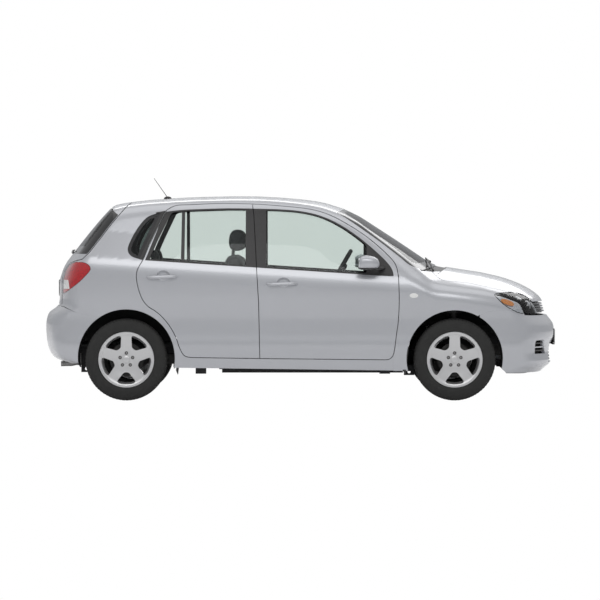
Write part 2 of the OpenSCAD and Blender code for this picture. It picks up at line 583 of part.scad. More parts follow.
// Twist beam with trailing arms, springs and stub axles
module rear_axle_beam() color([0.2, 0.2, 0.21]) {
  translate([rear_axle + 190, 0, hub_z - 8]) rotate([90, 0, 0])
    cylinder(r = 38, h = 1060, center = true, $fn = 48);
  both_sides() {
    translate([rear_axle - 40, 510, hub_z - 40]) cube([500, 36, 70]);
    translate([rear_axle, 545, hub_z]) rotate([-90, 0, 0])
      cylinder(r = 44, h = track / 2 - 545 - 30, $fn = 48);
    translate([rear_axle, track / 2 - 45, hub_z]) rotate([-90, 0, 0])
      cylinder(r = spindle_r, h = 80, $fn = 48);
    translate([rear_axle + 440, 490, hub_z - 25]) cube([80, 76, 349.7 * kz - hub_z + 25]);
    translate([rear_axle + 190, 420, hub_z + 20]) cylinder(r = 45, h = 399.7 * kz - hub_z - 20, $fn = 48);
  }
}

// ---- Cabin -------------------------------------------------------------------------------------
seat_y = 365;
module side_profile(pts, w) translate([0, w / 2, 0]) rotate([90, 0, 0]) linear_extrude(w)
  polygon([for (p = pts) [p[0] * kx, p[1] * kz]]);
module front_seats() color([0.22, 0.22, 0.23]) both_sides() translate([0, seat_y * ky, 0]) {
  side_profile([[-330, 330], [170, 350], [200, 400], [185, 470], [-240, 430], [-330, 480], [-480, 1090],
    [-540, 1120], [-590, 1090], [-560, 900], [-420, 340]], seat_width);
  side_profile([[-455, 1150], [-500, 1290], [-530, 1296], [-575, 1270], [-560, 1150], [-530, 1136]], 260);
  for (y = [-60, 60]) translate([-530 * kx, y, 1090 * kz]) cylinder(r = 7, h = 75, $fn = 24);
  for (y = [-180, 180]) translate([-320 * kx, y - 20, 256 * kz]) cube([420, 40, 98]);
}
module rear_seat() color([0.22, 0.22, 0.23]) {
  side_profile([[-1010, 420.3], [-600, 420.3], [-540, 445], [-545, 520], [-900, 545], [-1040, 980],
    [-1090, 1010], [-1150, 985], [-1100, 700]], 1080);
  for (y = [-330, 330]) translate([0, y, 0]) {
    side_profile([[-1060, 1040], [-1090, 1150], [-1150, 1150], [-1160, 1040]], 240);
    for (p = [-50, 50]) translate([-1112 * kx, p, 980 * kz]) cylinder(r = 6, h = 80, $fn = 24);
  }
}
wheel_tilt = 120;
wheel_at = [300, 370, 985];
module dashboard() color([0.16, 0.16, 0.17])
  side_profile([[560, 760], [620, 620], [900, 620], [984.7, 662], [984.7, 880], [900, 930], [640, 960],
    [575, 900]], 1180);
// Steering column and its shaft, from the dash to the wheel boss
module steering_column() color([0.16, 0.16, 0.17]) difference() {
  translate([wheel_at[0] * kx, -wheel_at[1] * ky, wheel_at[2] * kz]) rotate([0, wheel_tilt, 0]) {
    translate([0, 0, 60]) cylinder(r = 34, h = 300, $fn = 48);
    translate([0, 0, 12]) cylinder(r = 10, h = 60, $fn = 48);
  }
  dashboard();
}
module steering_wheel() color([0.15, 0.15, 0.16])
  translate([wheel_at[0] * kx, -wheel_at[1] * ky, wheel_at[2] * kz]) rotate([0, wheel_tilt, 0]) {
    rotate_extrude($fn = 72) translate([steering_dia / 2 - 15, 0]) circle(r = 15, $fn = 32);
    difference() {
      union() {
        translate([0, 0, 4]) cylinder(r = 62, h = 36, $fn = 48);
        for (a = [90, -90, 0]) rotate([0, 0, a]) translate([0, -20, 6]) cube([steering_dia / 2 - 14, 40, 16]);
      }
      translate([0, 0, 10]) cylinder(r = 10 + running, h = 60, $fn = 48);
    }
  }

// ---- Outside fittings ------------------------------------------------------------------------------
function skin_top(x, y, out) = shoot([x, y, core_top(x)], [0, 0, 1], -out, 0, 700, 13);
module strip_on_skin(path, r, out) for (i = [0:len(path) - 2]) hull() for (p = [path[i], path[i + 1]])
  translate(skin_top(p[0], p[1], out)) sphere(r = r, $fn = 8);
module wipers() color(trim) free_form() for (y0 = [60, -500]) {
  strip_on_skin([for (i = [0:4]) [1010 - i * 10 - 70 * pow(abs((y0 + i * 125) / 680), 2), y0 + i * 125]], 8, 24);
  strip_on_skin([[1050 - 90 * pow(abs(y0 / 680), 2), y0 - 10], [1010 - 70 * pow(abs(y0 / 680), 2), y0]], 12, 17);
}
module rear_wiper() color(trim) free_form() {
  strip_on_skin([for (i = [0:3]) [-1716 + i * 3, -i * 115]], 9, 18);
  strip_on_skin([[-1722, 6], [-1714, 0]], 14, 18);
}
module antenna() color(trim) {
  translate([-1036 * kx, 0, 1546 * kz]) rotate([0, -33, 0]) cylinder(r = 3, h = 190, $fn = 32);
  translate([-1030 * kx, 0, 1539 * kz]) cylinder(r1 = 24, r2 = 8, h = 26, $fn = 48);
}
module mirror_part() color(silver) free_form() {
  hull() for (p = [[452, 905, 1030], [560, 900, 1024], [448, 935, 1072], [565, 905, 1078], [470, 968, 1060]])
    translate(p) sphere(r = 27, $fn = 16);
  hull() {
    translate([566, 890, 1012]) sphere(r = 16, $fn = 16);
    translate([600, edge_y(600, 1004) + 20 + 2 * seat_gap, 1004]) sphere(r = 20, $fn = 16);
  }
}
floor_pan();
chassis_rails();
lashing_eyes();
firewall();
cowl_panel();
front_bumper();
rear_bumper();
grille();
fenders();
side_frames();
roof_panel();
windscreen();
quarter_glass();
headlamps();
tail_lamps();
arch_liners();
hood();
tailgate();
tailgate_glass();
door(true);  // front_door_left
door(false);  // rear_door_left
door_glass(true);  // front_glass_left
door_glass(false);  // rear_glass_left
dashboard();
steering_column();
front_seats();
rear_seat();
engine();
front_suspension();
rear_axle_beam();  // rear_axle
exhaust();
fuel_tank();
antenna();
wipers();
rear_wiper();
mirror([0, 1, 0]) door(true);  // front_door_right
mirror([0, 1, 0]) door(false);  // rear_door_right
mirror([0, 1, 0]) door_glass(true);  // front_glass_right
mirror([0, 1, 0]) door_glass(false);  // rear_glass_right
mirror_part();  // mirror_left
mirror([0, 1, 0]) mirror_part();  // mirror_right
knuckle_part();  // knuckle_left
mirror([0, 1, 0]) knuckle_part();  // knuckle_right
on_hub(front_axle, 1) tyre_part();  // tyre_front_left
on_hub(front_axle, -1) tyre_part();  // tyre_front_right
on_hub(rear_axle, 1) tyre_part();  // tyre_rear_left
on_hub(rear_axle, -1) tyre_part();  // tyre_rear_right
on_hub(front_axle, 1) rim_part();  // rim_front_left
on_hub(front_axle, -1) rim_part();  // rim_front_right
on_hub(rear_axle, 1) rim_part();  // rim_rear_left
on_hub(rear_axle, -1) rim_part();  // rim_rear_right
steering_wheel();
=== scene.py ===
# %% [markdown]
# # A silver five-door hatchback
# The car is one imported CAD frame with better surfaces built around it. The outlines below are the
# shut lines and pillar edges of the CAD, apart from the rear edge of the fender, which comes nearer
# to the door here. Everything rides on the body that already moves it. Lengths are millimetres while
# we build, and turn into metres when a mesh is made.

# %% Load the frame
import math

import bpy
import numpy as np
from mathutils import Matrix, Vector


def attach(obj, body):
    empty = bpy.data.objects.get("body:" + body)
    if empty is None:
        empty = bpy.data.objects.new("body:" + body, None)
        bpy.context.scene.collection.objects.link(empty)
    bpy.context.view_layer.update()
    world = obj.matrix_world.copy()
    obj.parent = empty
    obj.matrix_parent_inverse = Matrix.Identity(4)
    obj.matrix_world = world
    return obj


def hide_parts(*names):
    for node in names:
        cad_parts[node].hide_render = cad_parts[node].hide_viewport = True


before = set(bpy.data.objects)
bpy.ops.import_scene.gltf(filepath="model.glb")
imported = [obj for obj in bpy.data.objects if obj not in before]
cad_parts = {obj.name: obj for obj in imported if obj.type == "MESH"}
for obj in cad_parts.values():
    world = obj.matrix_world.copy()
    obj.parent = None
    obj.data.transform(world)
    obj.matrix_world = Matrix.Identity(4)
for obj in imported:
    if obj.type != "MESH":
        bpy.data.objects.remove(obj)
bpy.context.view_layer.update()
MM = 0.001

# %% [markdown]
# ## Camera, floor and light
# The car is looked at square from its right side with a long lens, as from thirty metres away.
# The floor is a plain pale plane. The sky is bright overhead and darker near the horizon, because
# silver paint shows its form only when it has something light and something dark to mirror.

# %% Camera and stage
scene = bpy.context.scene
camera = bpy.data.objects.new("camera", bpy.data.cameras.new("camera"))
scene.collection.objects.link(camera)
scene.camera = camera
eye, target = Vector((-0.0055, -30.84, 1.30)), Vector((-0.0055, -0.84, 0.764))
camera.location = eye
camera.rotation_euler = (target - eye).to_track_quat("-Z", "Y").to_euler()
camera.data.lens = 237.8
camera.data.clip_end = 400
scene.view_settings.view_transform = "Standard"


def node_set(tree, kind, **values):
    """A new shader node with its plain settings and socket values."""
    made = tree.nodes.new(kind)
    for key, value in values.items():
        if key in made.inputs:
            made.inputs[key].default_value = value
        else:
            setattr(made, key, value)
    return made


def world_light():
    world = bpy.data.worlds.new("studio")
    scene.world = world
    world.use_nodes = True
    tree = world.node_tree
    tree.nodes.clear()
    out = node_set(tree, "ShaderNodeOutputWorld")
    coord = node_set(tree, "ShaderNodeTexCoord")
    axes = node_set(tree, "ShaderNodeSeparateXYZ")
    ramp = node_set(tree, "ShaderNodeValToRGB")
    ramp.color_ramp.elements[0].position = 0.02
    ramp.color_ramp.elements[0].color = (0.50, 0.51, 0.53, 1)
    ramp.color_ramp.elements[1].position = 0.62
    ramp.color_ramp.elements[1].color = (0.86, 0.86, 0.87, 1)
    middle = ramp.color_ramp.elements.new(0.22)
    middle.color = (0.72, 0.73, 0.75, 1)
    sky = node_set(tree, "ShaderNodeBackground", Strength=0.74)
    seen = node_set(tree, "ShaderNodeBackground", Strength=1.0)
    seen.inputs["Color"].default_value = (1, 1, 1, 1)
    path = node_set(tree, "ShaderNodeLightPath")
    mix = node_set(tree, "ShaderNodeMixShader")
    tree.links.new(coord.outputs["Generated"], axes.inputs[0])
    tree.links.new(axes.outputs["Z"], ramp.inputs["Fac"])
    tree.links.new(ramp.outputs["Color"], sky.inputs["Color"])
    tree.links.new(path.outputs["Is Camera Ray"], mix.inputs["Fac"])
    tree.links.new(sky.outputs[0], mix.inputs[1])
    tree.links.new(seen.outputs[0], mix.inputs[2])
    tree.links.new(mix.outputs[0], out.inputs["Surface"])


def area_light(name, place, aim, size, power):
    lamp = bpy.data.objects.new(name, bpy.data.lights.new(name, "AREA"))
    lamp.data.shape = "RECTANGLE"
    lamp.data.size, lamp.data.size_y = size
    lamp.data.energy = power
    lamp.location = place
    lamp.rotation_euler = (Vector(aim) - Vector(place)).to_track_quat("-Z", "Y").to_euler()
    scene.collection.objects.link(lamp)


world_light()
area_light("top_softbox", (0, 0, 7), (0, 0, 0), (9, 5), 80)
area_light("right_softbox", (-1.0, -8, 5.5), (0, 0, 0.5), (9, 3), 150)
area_light("left_softbox", (1.0, 8, 5.5), (0, 0, 0.5), (9, 3), 150)

# %% [markdown]
# ## Finishes
# Each finish is a small node tree: a base colour that varies a little by noise, a roughness that
# varies with it, and a fine bump. Values that are the same all over are set on the shader itself.


# %% Material helper
def finish(name, colour, spread=0.06, scale=40.0, rough=(0.3, 0.4), bump=0.0, bump_scale=400.0,
           stretch=(1, 1, 1), **values):
    """A Principled material with noise in its colour, roughness and bump."""
    made = bpy.data.materials.new(name)
    made.use_nodes = True
    tree = made.node_tree
    shader = tree.nodes["Principled BSDF"]
    for key, value in values.items():
        shader.inputs[key.replace("_", " ")].default_value = value
    coord = node_set(tree, "ShaderNodeTexCoord")
    place = node_set(tree, "ShaderNodeMapping")
    place.inputs["Scale"].default_value = stretch
    noise = node_set(tree, "ShaderNodeTexNoise", Scale=scale, Detail=4.0)
    ramp = node_set(tree, "ShaderNodeValToRGB")
    ramp.color_ramp.elements[0].position = 0.3
    ramp.color_ramp.elements[1].position = 0.7
    ramp.color_ramp.elements[0].color = [c * (1 - spread) for c in colour] + [1]
    ramp.color_ramp.elements[1].color = [min(c * (1 + spread), 1) for c in colour] + [1]
    gloss = node_set(tree, "ShaderNodeMapRange")
    gloss.inputs["To Min"].default_value, gloss.inputs["To Max"].default_value = rough
    tree.links.new(coord.outputs["Object"], place.inputs["Vector"])
    tree.links.new(place.outputs[0], noise.inputs["Vector"])
    tree.links.new(noise.outputs["Fac"], ramp.inputs["Fac"])
    tree.links.new(noise.outputs["Fac"], gloss.inputs["Value"])
    tree.links.new(ramp.outputs["Color"], shader.inputs["Base Color"])
    tree.links.new(gloss.outputs[0], shader.inputs["Roughness"])
    if bump:
        grain = node_set(tree, "ShaderNodeTexNoise", Scale=bump_scale, Detail=3.0)
        relief = node_set(tree, "ShaderNodeBump", Strength=bump, Distance=0.001)
        tree.links.new(place.outputs[0], grain.inputs["Vector"])
        tree.links.new(grain.outputs["Fac"], relief.inputs["Height"])
        tree.links.new(relief.outputs[0], shader.inputs["Normal"])
    return made


def see_through(name, tint, shine=0.03):
    """Thin glass: tinted and clear straight on, mirroring more at a glance."""
    made = bpy.data.materials.new(name)
    made.use_nodes = True
    tree = made.node_tree
    tree.nodes.clear()
    out = node_set(tree, "ShaderNodeOutputMaterial")
    coord = node_set(tree, "ShaderNodeTexCoord")
    noise = node_set(tree, "ShaderNodeTexNoise", Scale=3.0)
    ramp = node_set(tree, "ShaderNodeValToRGB")
    ramp.color_ramp.elements[0].color = [c * 0.985 for c in tint] + [1]
    ramp.color_ramp.elements[1].color = list(tint) + [1]
    clear = node_set(tree, "ShaderNodeBsdfTransparent")
    glossy = node_set(tree, "ShaderNodeBsdfGlossy", Roughness=shine)
    fresnel = node_set(tree, "ShaderNodeFresnel", IOR=1.35)
    mix = node_set(tree, "ShaderNodeMixShader")
    tree.links.new(coord.outputs["Object"], noise.inputs["Vector"])
    tree.links.new(noise.outputs["Fac"], ramp.inputs["Fac"])
    tree.links.new(ramp.outputs["Color"], clear.inputs["Color"])
    tree.links.new(fresnel.outputs[0], mix.inputs["Fac"])
    tree.links.new(clear.outputs[0], mix.inputs[1])
    tree.links.new(glossy.outputs[0], mix.inputs[2])
    tree.links.new(mix.outputs[0], out.inputs["Surface"])
    return made


# %% The finishes of this car
PAINT = finish("silver_paint", (0.50, 0.51, 0.535), spread=0.035, scale=900, rough=(0.30, 0.36),
               bump=0.012, bump_scale=1600, Metallic=0.62, Coat_Weight=0.9, Coat_Roughness=0.06)
# This darker grey of the silver paint is painted shade, used on the door edges, handle dishes and hinge
# pillars.
SHADE_GREY = finish("painted_shade_grey", (0.25, 0.255, 0.27), spread=0.04, scale=700, rough=(0.4, 0.5), Metallic=0.5)
TRIM = finish("black_trim", (0.030, 0.029, 0.029), spread=0.15, scale=60, rough=(0.38, 0.5), bump=0.15)
GLOSS_BLACK = finish("gloss_black", (0.016, 0.016, 0.017), spread=0.1, scale=30, rough=(0.12, 0.2),
                     Coat_Weight=0.4)
RUBBER = finish("tyre_rubber", (0.018, 0.018, 0.017), spread=0.22, scale=25, rough=(0.68, 0.85), bump=0.35,
                bump_scale=700)
ALLOY = finish("silver_alloy", (0.62, 0.62, 0.62), spread=0.03, scale=500, rough=(0.28, 0.36), bump=0.02,
               bump_scale=900, Metallic=0.72, Coat_Weight=0.5, Coat_Roughness=0.1)
STEEL = finish("dull_steel", (0.30, 0.295, 0.29), spread=0.15, scale=70, rough=(0.35, 0.5), bump=0.1,
               Metallic=0.9)
CAST = finish("cast_iron", (0.055, 0.054, 0.052), spread=0.25, scale=60, rough=(0.55, 0.75), bump=0.4,
              bump_scale=350, Metallic=0.4)
UNDERSEAL = finish("underseal", (0.030, 0.030, 0.031), spread=0.3, scale=20, rough=(0.75, 0.9), bump=0.5,
                   bump_scale=160)
LINER = finish("arch_liner", (0.008, 0.008, 0.008), spread=0.2, scale=30, rough=(0.8, 0.95), bump=0.3,
               bump_scale=220)
PLASTIC = finish("grained_plastic", (0.035, 0.036, 0.038), spread=0.12, scale=50, rough=(0.5, 0.62),
                 bump=0.3, bump_scale=1100)
LINING = finish("cabin_lining", (0.16, 0.16, 0.165), spread=0.1, scale=45, rough=(0.7, 0.85), bump=0.25,
                bump_scale=900)
GREY_LINING = finish("roof_lining", (0.42, 0.42, 0.41), spread=0.05, scale=60, rough=(0.85, 0.95),
                     bump=0.25, bump_scale=900)
FABRIC = finish("seat_cloth", (0.062, 0.064, 0.068), spread=0.3, scale=520, rough=(0.8, 0.95), bump=0.55,
                bump_scale=1300, stretch=(1, 1, 2.4), Sheen_Weight=0.35)
CHROME = finish("lamp_reflector", (0.82, 0.83, 0.84), spread=0.03, scale=90, rough=(0.06, 0.14),
                Metallic=1.0)
LAMP_SHELL = finish("lamp_shell", (0.66, 0.665, 0.68), spread=0.25, scale=28, rough=(0.16, 0.3),
                    Metallic=0.25)
ORANGE = finish("indicator_lens", (0.90, 0.30, 0.03), spread=0.12, scale=160, rough=(0.12, 0.2),
                Coat_Weight=0.6)
RED = finish("red_lens", (0.42, 0.005, 0.009), spread=0.25, scale=85, rough=(0.07, 0.14), Coat_Weight=1.0)
WHITE_LENS = finish("white_lens", (0.82, 0.82, 0.80), spread=0.08, scale=260, rough=(0.1, 0.2),
                    Coat_Weight=0.8)
PLATE = finish("blank_plate", (0.80, 0.80, 0.78), spread=0.03, scale=300, rough=(0.25, 0.35))
FLOOR = finish("pale_floor", (0.93, 0.93, 0.935), spread=0.008, scale=4, rough=(0.85, 0.95))
GLASS = see_through("tinted_glass", (0.88, 0.91, 0.897))
DARK_GLASS = see_through("dark_glass", (0.50, 0.54, 0.53))
LENS = see_through("clear_lens", (0.97, 0.98, 0.99), 0.02)
print("finishes", len(bpy.data.materials))

# %% [markdown]
# ## The body surface as a function
# A pressed steel body is one smooth surface that is later cut into panels. Here it is a signed
# distance: side, roof, nose and tail shapes come from short tables of the car's own sections,
# rounded into one another. Each table is blurred a little, so that highlights run clean across it.


# %% Smooth tables
def table(points, blur):
    """A function through the points, with its corners blurred over that many millimetres."""
    xs = np.arange(points[0][0], points[-1][0] + 1, 2.0)
    ys = np.interp(xs, *zip(*points))
    reach = int(3 * blur / 2.0) + 1
    kernel = np.exp(-0.5 * (np.arange(-reach, reach + 1) * 2.0 / blur) ** 2)
    padded = np.concatenate([ys[0] + (ys[0] - ys[1:reach + 1])[::-1], ys,
                             ys[-1] + (ys[-1] - ys[-reach - 1:-1])[::-1]])
    smooth = np.convolve(padded, kernel / kernel.sum(), "valid")
    return lambda q: np.interp(q, xs, smooth)


crown = table([[-2100, 700], [-1810, 1052], [-1756, 1122], [-1639, 1270], [-1561, 1364], [-1475, 1458],
               [-1440, 1488], [-1343, 1507], [-1172, 1527], [-939, 1543], [-783, 1550], [-511, 1556],
               [-317, 1554], [-161, 1546], [-5, 1533], [111, 1519], [189, 1504], [267, 1480],
               [344, 1455], [461, 1399], [617, 1298], [772, 1197], [928, 1092], [1000, 1042],
               [1060, 1020], [1138, 1006], [1394, 967], [1550, 932], [1628, 907], [1706, 876],
               [1783, 835], [1838, 796], [1877, 757], [2100, 480]], 16)
fall = table([[-2000, 120], [-1750, 90], [-1343, 42], [-800, 44], [-100, 48], [344, 70], [700, 92],
              [1000, 104], [1140, 92], [1500, 96], [1900, 130]], 60)
slope = table([[-1700, 0.62], [-1480, 0.64], [-1400, 1], [200, 0.99], [350, 0.9], [461, 0.84],
               [950, 0.84], [1080, 0.98], [1500, 0.98], [1750, 0.88], [1900, 0.72]], 30)
nose = table([[0, 1700], [150, 1800], [205, 1862], [236, 1892], [259, 1926], [290, 1944], [360, 1934],
              [430, 1944], [470, 1962], [516, 1966], [570, 1958], [600, 1938], [640, 1904],
              [700, 1893], [1100, 1893]], 9)
tail = table([[0, -1640], [200, -1700], [263, -1745], [290, -1857], [314, -1903], [353, -1934],
              [391, -1950], [450, -1962], [520, -1968], [580, -1969], [625, -1960], [664, -1944],
              [686, -1910], [712, -1872], [760, -1864], [905, -1864], [960, -1855], [1200, -1848],
              [1600, -1848]], 9)
flank_low = table([[0, 770], [170, 795], [230, 812], [318, 822], [400, 836], [440, 837], [505, 829],
                   [620, 826], [720, 831], [800, 836], [870, 838], [2000, 838]], 16)
flank_high = table([[-900, 838], [-130, 838], [-85, 836], [-40, 829], [0, 815], [60, 794], [200, 744],
                    [400, 664], [480, 624], [560, 575], [900, 380]], 16)
taper = table([[-2100, 190], [-1900, 112], [-1750, 62], [-1600, 30], [-1450, 12], [-1300, 4],
               [-1100, 0], [1170, 0], [1300, 5], [1450, 20], [1600, 45], [1750, 84], [1900, 146],
               [2100, 260]], 40)
high_taper = table([[-1800, 66], [-1500, 40], [-1200, 18], [-900, 4], [0, 0], [500, 8], [900, 30]], 40)


def belt(x):
    return 987 - 0.066 * x


def round_max(a, b, k):
    return np.maximum(a, b) + np.maximum(k - np.abs(a - b), 0) ** 2 / (4 * k)


def skin(p):
    """Signed distance in mm of points (n, 3) from the body skin, negative inside."""
    x, y, z = p[:, 0], np.abs(p[:, 1]), p[:, 2]
    above = z - belt(x)
    side = np.minimum(flank_low(z), flank_high(above)) - taper(x)
    side = side - high_taper(x) * np.clip(above / 200, 0, 1)
    top = crown(x) - fall(x) * (y / 650) ** 2.2
    ends = np.maximum(x - nose(z) + 250 * (y / 800) ** 2.6, tail(z) + 130 * (y / 800) ** 3 - x)
    ends = np.maximum(ends, 60 - z)
    return round_max(round_max(y - side, (z - top) * slope(x), 90), ends, 60)


def skin_normal(p, step=3.0):
    grad = np.stack([skin(p + step * e) - skin(p - step * e) for e in np.eye(3)], axis=1)
    return grad / np.maximum(np.linalg.norm(grad, axis=1, keepdims=True), 1e-9)


def march(start, direction, inset=0.0, far=900.0):
    """Where rays from inside meet the skin at that inset, by halving."""
    low, high = np.zeros(len(start)), np.full(len(start), far)
    for _ in range(18):
        mid = (low + high) / 2
        outside = skin(start + direction * mid[:, None]) + inset > 0
        low, high = np.where(outside, low, mid), np.where(outside, mid, high)
    return start + direction * ((low + high) / 2)[:, None]


def side_point(x, z, inset=0.0):
    """The point of the left body side at that station and height."""
    return march(np.array([[x, 0.0, z]]), np.array([[0.0, 1.0, 0.0]]), inset)[0]


def top_point(x, y, inset=0.0):
    """The point of the top skin at that place in plan."""
    return march(np.array([[x, y, crown(x) - 255.0]]), np.array([[0.0, 0.0, 1.0]]), inset)[0]


def front_point(y, z, inset=0.0):
    return march(np.array([[1500.0, y, z]]), np.array([[1.0, 0.0, 0.0]]), inset)[0]


def rear_point(y, z, inset=0.0):
    return march(np.array([[-1400.0, y, z]]), np.array([[-1.0, 0.0, 0.0]]), inset)[0]


# %% [markdown]
# ## From surface to shell
# Rays fan out from a core box inside the car and stop at the skin. Two such hulls, one inside the
# other, make a closed shell as thick as the panel. Boolean cuts with the shut lines then give real
# panels with edges, which is how the CAD makes them too, only finer here.


# %% Hull and shell
CORE_Y, CORE_Z, CORE_FRONT, CORE_REAR = 420, 190, 1590, -1550


def ring_rows():
    half = [(s, 0, -90) for s in np.linspace(0, 1, 6)]
    half += [(1, 0, a) for a in np.linspace(-90, 0, 9)[1:]]
    half += [(1, t, 0) for t in np.linspace(0, 1, 52)[1:]]
    half += [(1, 1, a) for a in np.linspace(0, 90, 26)[1:]]
    half += [(s, 1, 90) for s in np.linspace(1, 0, 12)[1:]]
    rows = [(s, t, math.cos(math.radians(a)), math.sin(math.radians(a))) for s, t, a in half]
    back = [(-s, t, -c, d) for s, t, c, d in rows[-2:0:-1]]
    return np.array(rows + back)


def loop_rows():
    fan = np.linspace(-90, 0, 15)[:-1]
    rows = [(CORE_REAR, -90, s) for s in np.linspace(0.06, 0.94, 12)] + [(CORE_REAR, a, 1) for a in fan]
    rows += [(x, 0, 1) for x in np.linspace(CORE_REAR, CORE_FRONT, 126)]
    rows += [(CORE_FRONT, -a, 1) for a in fan[::-1]]
    rows += [(CORE_FRONT, 90, s) for s in np.linspace(0.94, 0.06, 12)]
    return np.array(rows)


def hull(inset):
    """Vertices and faces of the closed body at that depth under the skin."""
    ring, loops = ring_rows(), loop_rows()
    n, m = len(ring), len(loops)
    x = np.repeat(loops[:, 0], n)
    lean = np.radians(np.repeat(loops[:, 1], n))
    shrink = np.repeat(loops[:, 2], n)
    r = np.tile(ring, (m, 1))
    top = crown(x) - 255
    mid = (CORE_Z + top) / 2
    start = np.stack([x, r[:, 0] * CORE_Y * shrink,
                      mid + (CORE_Z + r[:, 1] * (top - CORE_Z) - mid) * shrink], axis=1)
    aim = np.stack([np.sin(lean), np.cos(lean) * r[:, 2], np.cos(lean) * r[:, 3]], axis=1)
    verts = march(start, aim, inset)
    ends = [[CORE_REAR, 0, (CORE_Z + crown(CORE_REAR) - 255) / 2],
            [CORE_FRONT, 0, (CORE_Z + crown(CORE_FRONT) - 255) / 2]]
    caps = march(np.array(ends, float), np.array([[-1.0, 0, 0], [1.0, 0, 0]]), inset)
    faces = grid(m, n)
    for j in range(n):
        faces.append((m * n, (j + 1) % n, j))
        faces.append((m * n + 1, (m - 1) * n + j, (m - 1) * n + (j + 1) % n))
    return np.vstack([verts, caps]), faces


def raw_mesh(name, verts, faces):
    made = bpy.data.meshes.new(name)
    made.from_pydata([tuple(v) for v in verts], [], faces)
    made.update()
    return made


def grid(rows, turns):
    """The quads between rings of points that close on themselves."""
    made = []
    for i in range(rows - 1):
        for j in range(turns):
            a, b = i * turns + j, i * turns + (j + 1) % turns
            made.append((a, b, b + turns, a + turns))
    return made


def lids(rows, turns):
    """The two end faces of such a grid."""
    return [tuple(range(turns))[::-1], tuple(range((rows - 1) * turns, rows * turns))]


HULLS = {}


def layer(outer, inner):
    """A closed shell of the skin between two depths, in millimetres."""
    parts = []
    for inset in (outer, inner):
        if inset not in HULLS:
            HULLS[inset] = hull(inset)
        parts.append(HULLS[inset])
    (v0, f0), (v1, f1) = parts
    flipped = [tuple(len(v0) + k for k in reversed(f)) for f in f1]
    return raw_mesh("shell", np.vstack([v0, v1]), list(f0) + flipped)


def volume_sign(mesh):
    """Positive where the faces look outwards."""
    mesh.calc_loop_triangles()
    co = np.zeros(len(mesh.vertices) * 3)
    mesh.vertices.foreach_get("co", co)
    co = co.reshape(-1, 3)
    tri = np.zeros(len(mesh.loop_triangles) * 3, np.int32)
    mesh.loop_triangles.foreach_get("vertices", tri)
    a, b, c = (co[tri.reshape(-1, 3)[:, k]] for k in range(3))
    return float(np.einsum("ij,ij->i", a, np.cross(b, c)).sum())


print("hull volume m3", round(volume_sign(raw_mesh("whole", *hull(0))) / 6e9, 3))

# %% [markdown]
# ## Outlines
# Shut lines are drawn in side view as a few points with a smooth curve through them. A prism from
# each outline is the knife. Offsets leave the 5.4 mm shut gap round doors and lids.


# %% Curves, offsets and prisms
def curve(points, steps=4):
    """A smooth line through the points."""
    p = [np.array(q, float) for q in points]
    made = []
    for i in range(len(p) - 1):
        a, b, c, d = p[max(i - 1, 0)], p[i], p[i + 1], p[min(i + 2, len(p) - 1)]
        for t in range(steps):
            u = t / steps
            made.append(0.5 * (2 * b + (c - a) * u + (2 * a - 5 * b + 4 * c - d) * u * u
                               + (3 * b - a - 3 * c + d) * u ** 3))
    return [tuple(q) for q in made]


def offset(outline, grow):
    """The closed outline moved outwards by grow, with mitred corners."""
    p = [np.array(q, float) for q in outline]
    p = [q for i, q in enumerate(p) if np.linalg.norm(q - p[i - 1]) > 0.5]
    area = sum(p[i - 1][0] * p[i][1] - p[i][0] * p[i - 1][1] for i in range(len(p)))
    turn = 1 if area > 0 else -1
    made = []
    for i in range(len(p)):
        a, b = p[i] - p[i - 1], p[(i + 1) % len(p)] - p[i]
        na, nb = (np.array([v[1], -v[0]]) * turn / np.linalg.norm(v) for v in (a, b))
        mitre = (na + nb) / max(1 + na @ nb, 0.35)
        made.append(tuple(p[i] + mitre * grow))
    return made


def prism(outline, axis, low, high):
    """A closed solid swept from the outline along Y (side view), Z (plan) or X (front view)."""
    area = sum(outline[i - 1][0] * outline[i][1] - outline[i][0] * outline[i - 1][1]
               for i in range(len(outline)))
    pts = outline if area > 0 else outline[::-1]
    n = len(pts)
    put = {"y": lambda a, b, t: (a, t, b), "z": lambda a, b, t: (a, b, t), "x": lambda a, b, t: (t, a, b)}
    verts = [put[axis](a, b, t) for t in (low, high) for a, b in pts]
    faces = [tuple(range(n))[::-1], tuple(range(n, 2 * n))]
    faces += [(i, (i + 1) % n, (i + 1) % n + n, i + n) for i in range(n)]
    if axis == "y":
        faces = [f[::-1] for f in faces]
    return raw_mesh("prism", verts, faces)


def side_prism(outline, low=300, high=960):
    return prism(outline, "y", low, high)


def plan_prism(outline, low=700, high=1900):
    return prism(outline, "z", low, high)


def circle(x, z, r, n=96):
    return [(x + r * math.cos(2 * math.pi * i / n), z + r * math.sin(2 * math.pi * i / n)) for i in range(n)]


# %% Boolean cuts
def carve(base, steps):
    """The base mesh in millimetres after its (operation, tool mesh) steps."""
    work = bpy.data.objects.new("work", base)
    scene.collection.objects.link(work)
    tools = []
    for operation, tool in steps:
        helper = bpy.data.objects.new("tool", tool)
        scene.collection.objects.link(helper)
        step = work.modifiers.new("cut", "BOOLEAN")
        step.operation, step.solver, step.object = operation, "MANIFOLD", helper
        tools.append(helper)
    bpy.context.view_layer.update()
    graph = bpy.context.evaluated_depsgraph_get()
    made = bpy.data.meshes.new_from_object(work.evaluated_get(graph))
    for helper in tools + [work]:
        bpy.data.objects.remove(helper)
    return made


def keep(tool):
    return ("INTERSECT", tool)


def drop(tool):
    return ("DIFFERENCE", tool)


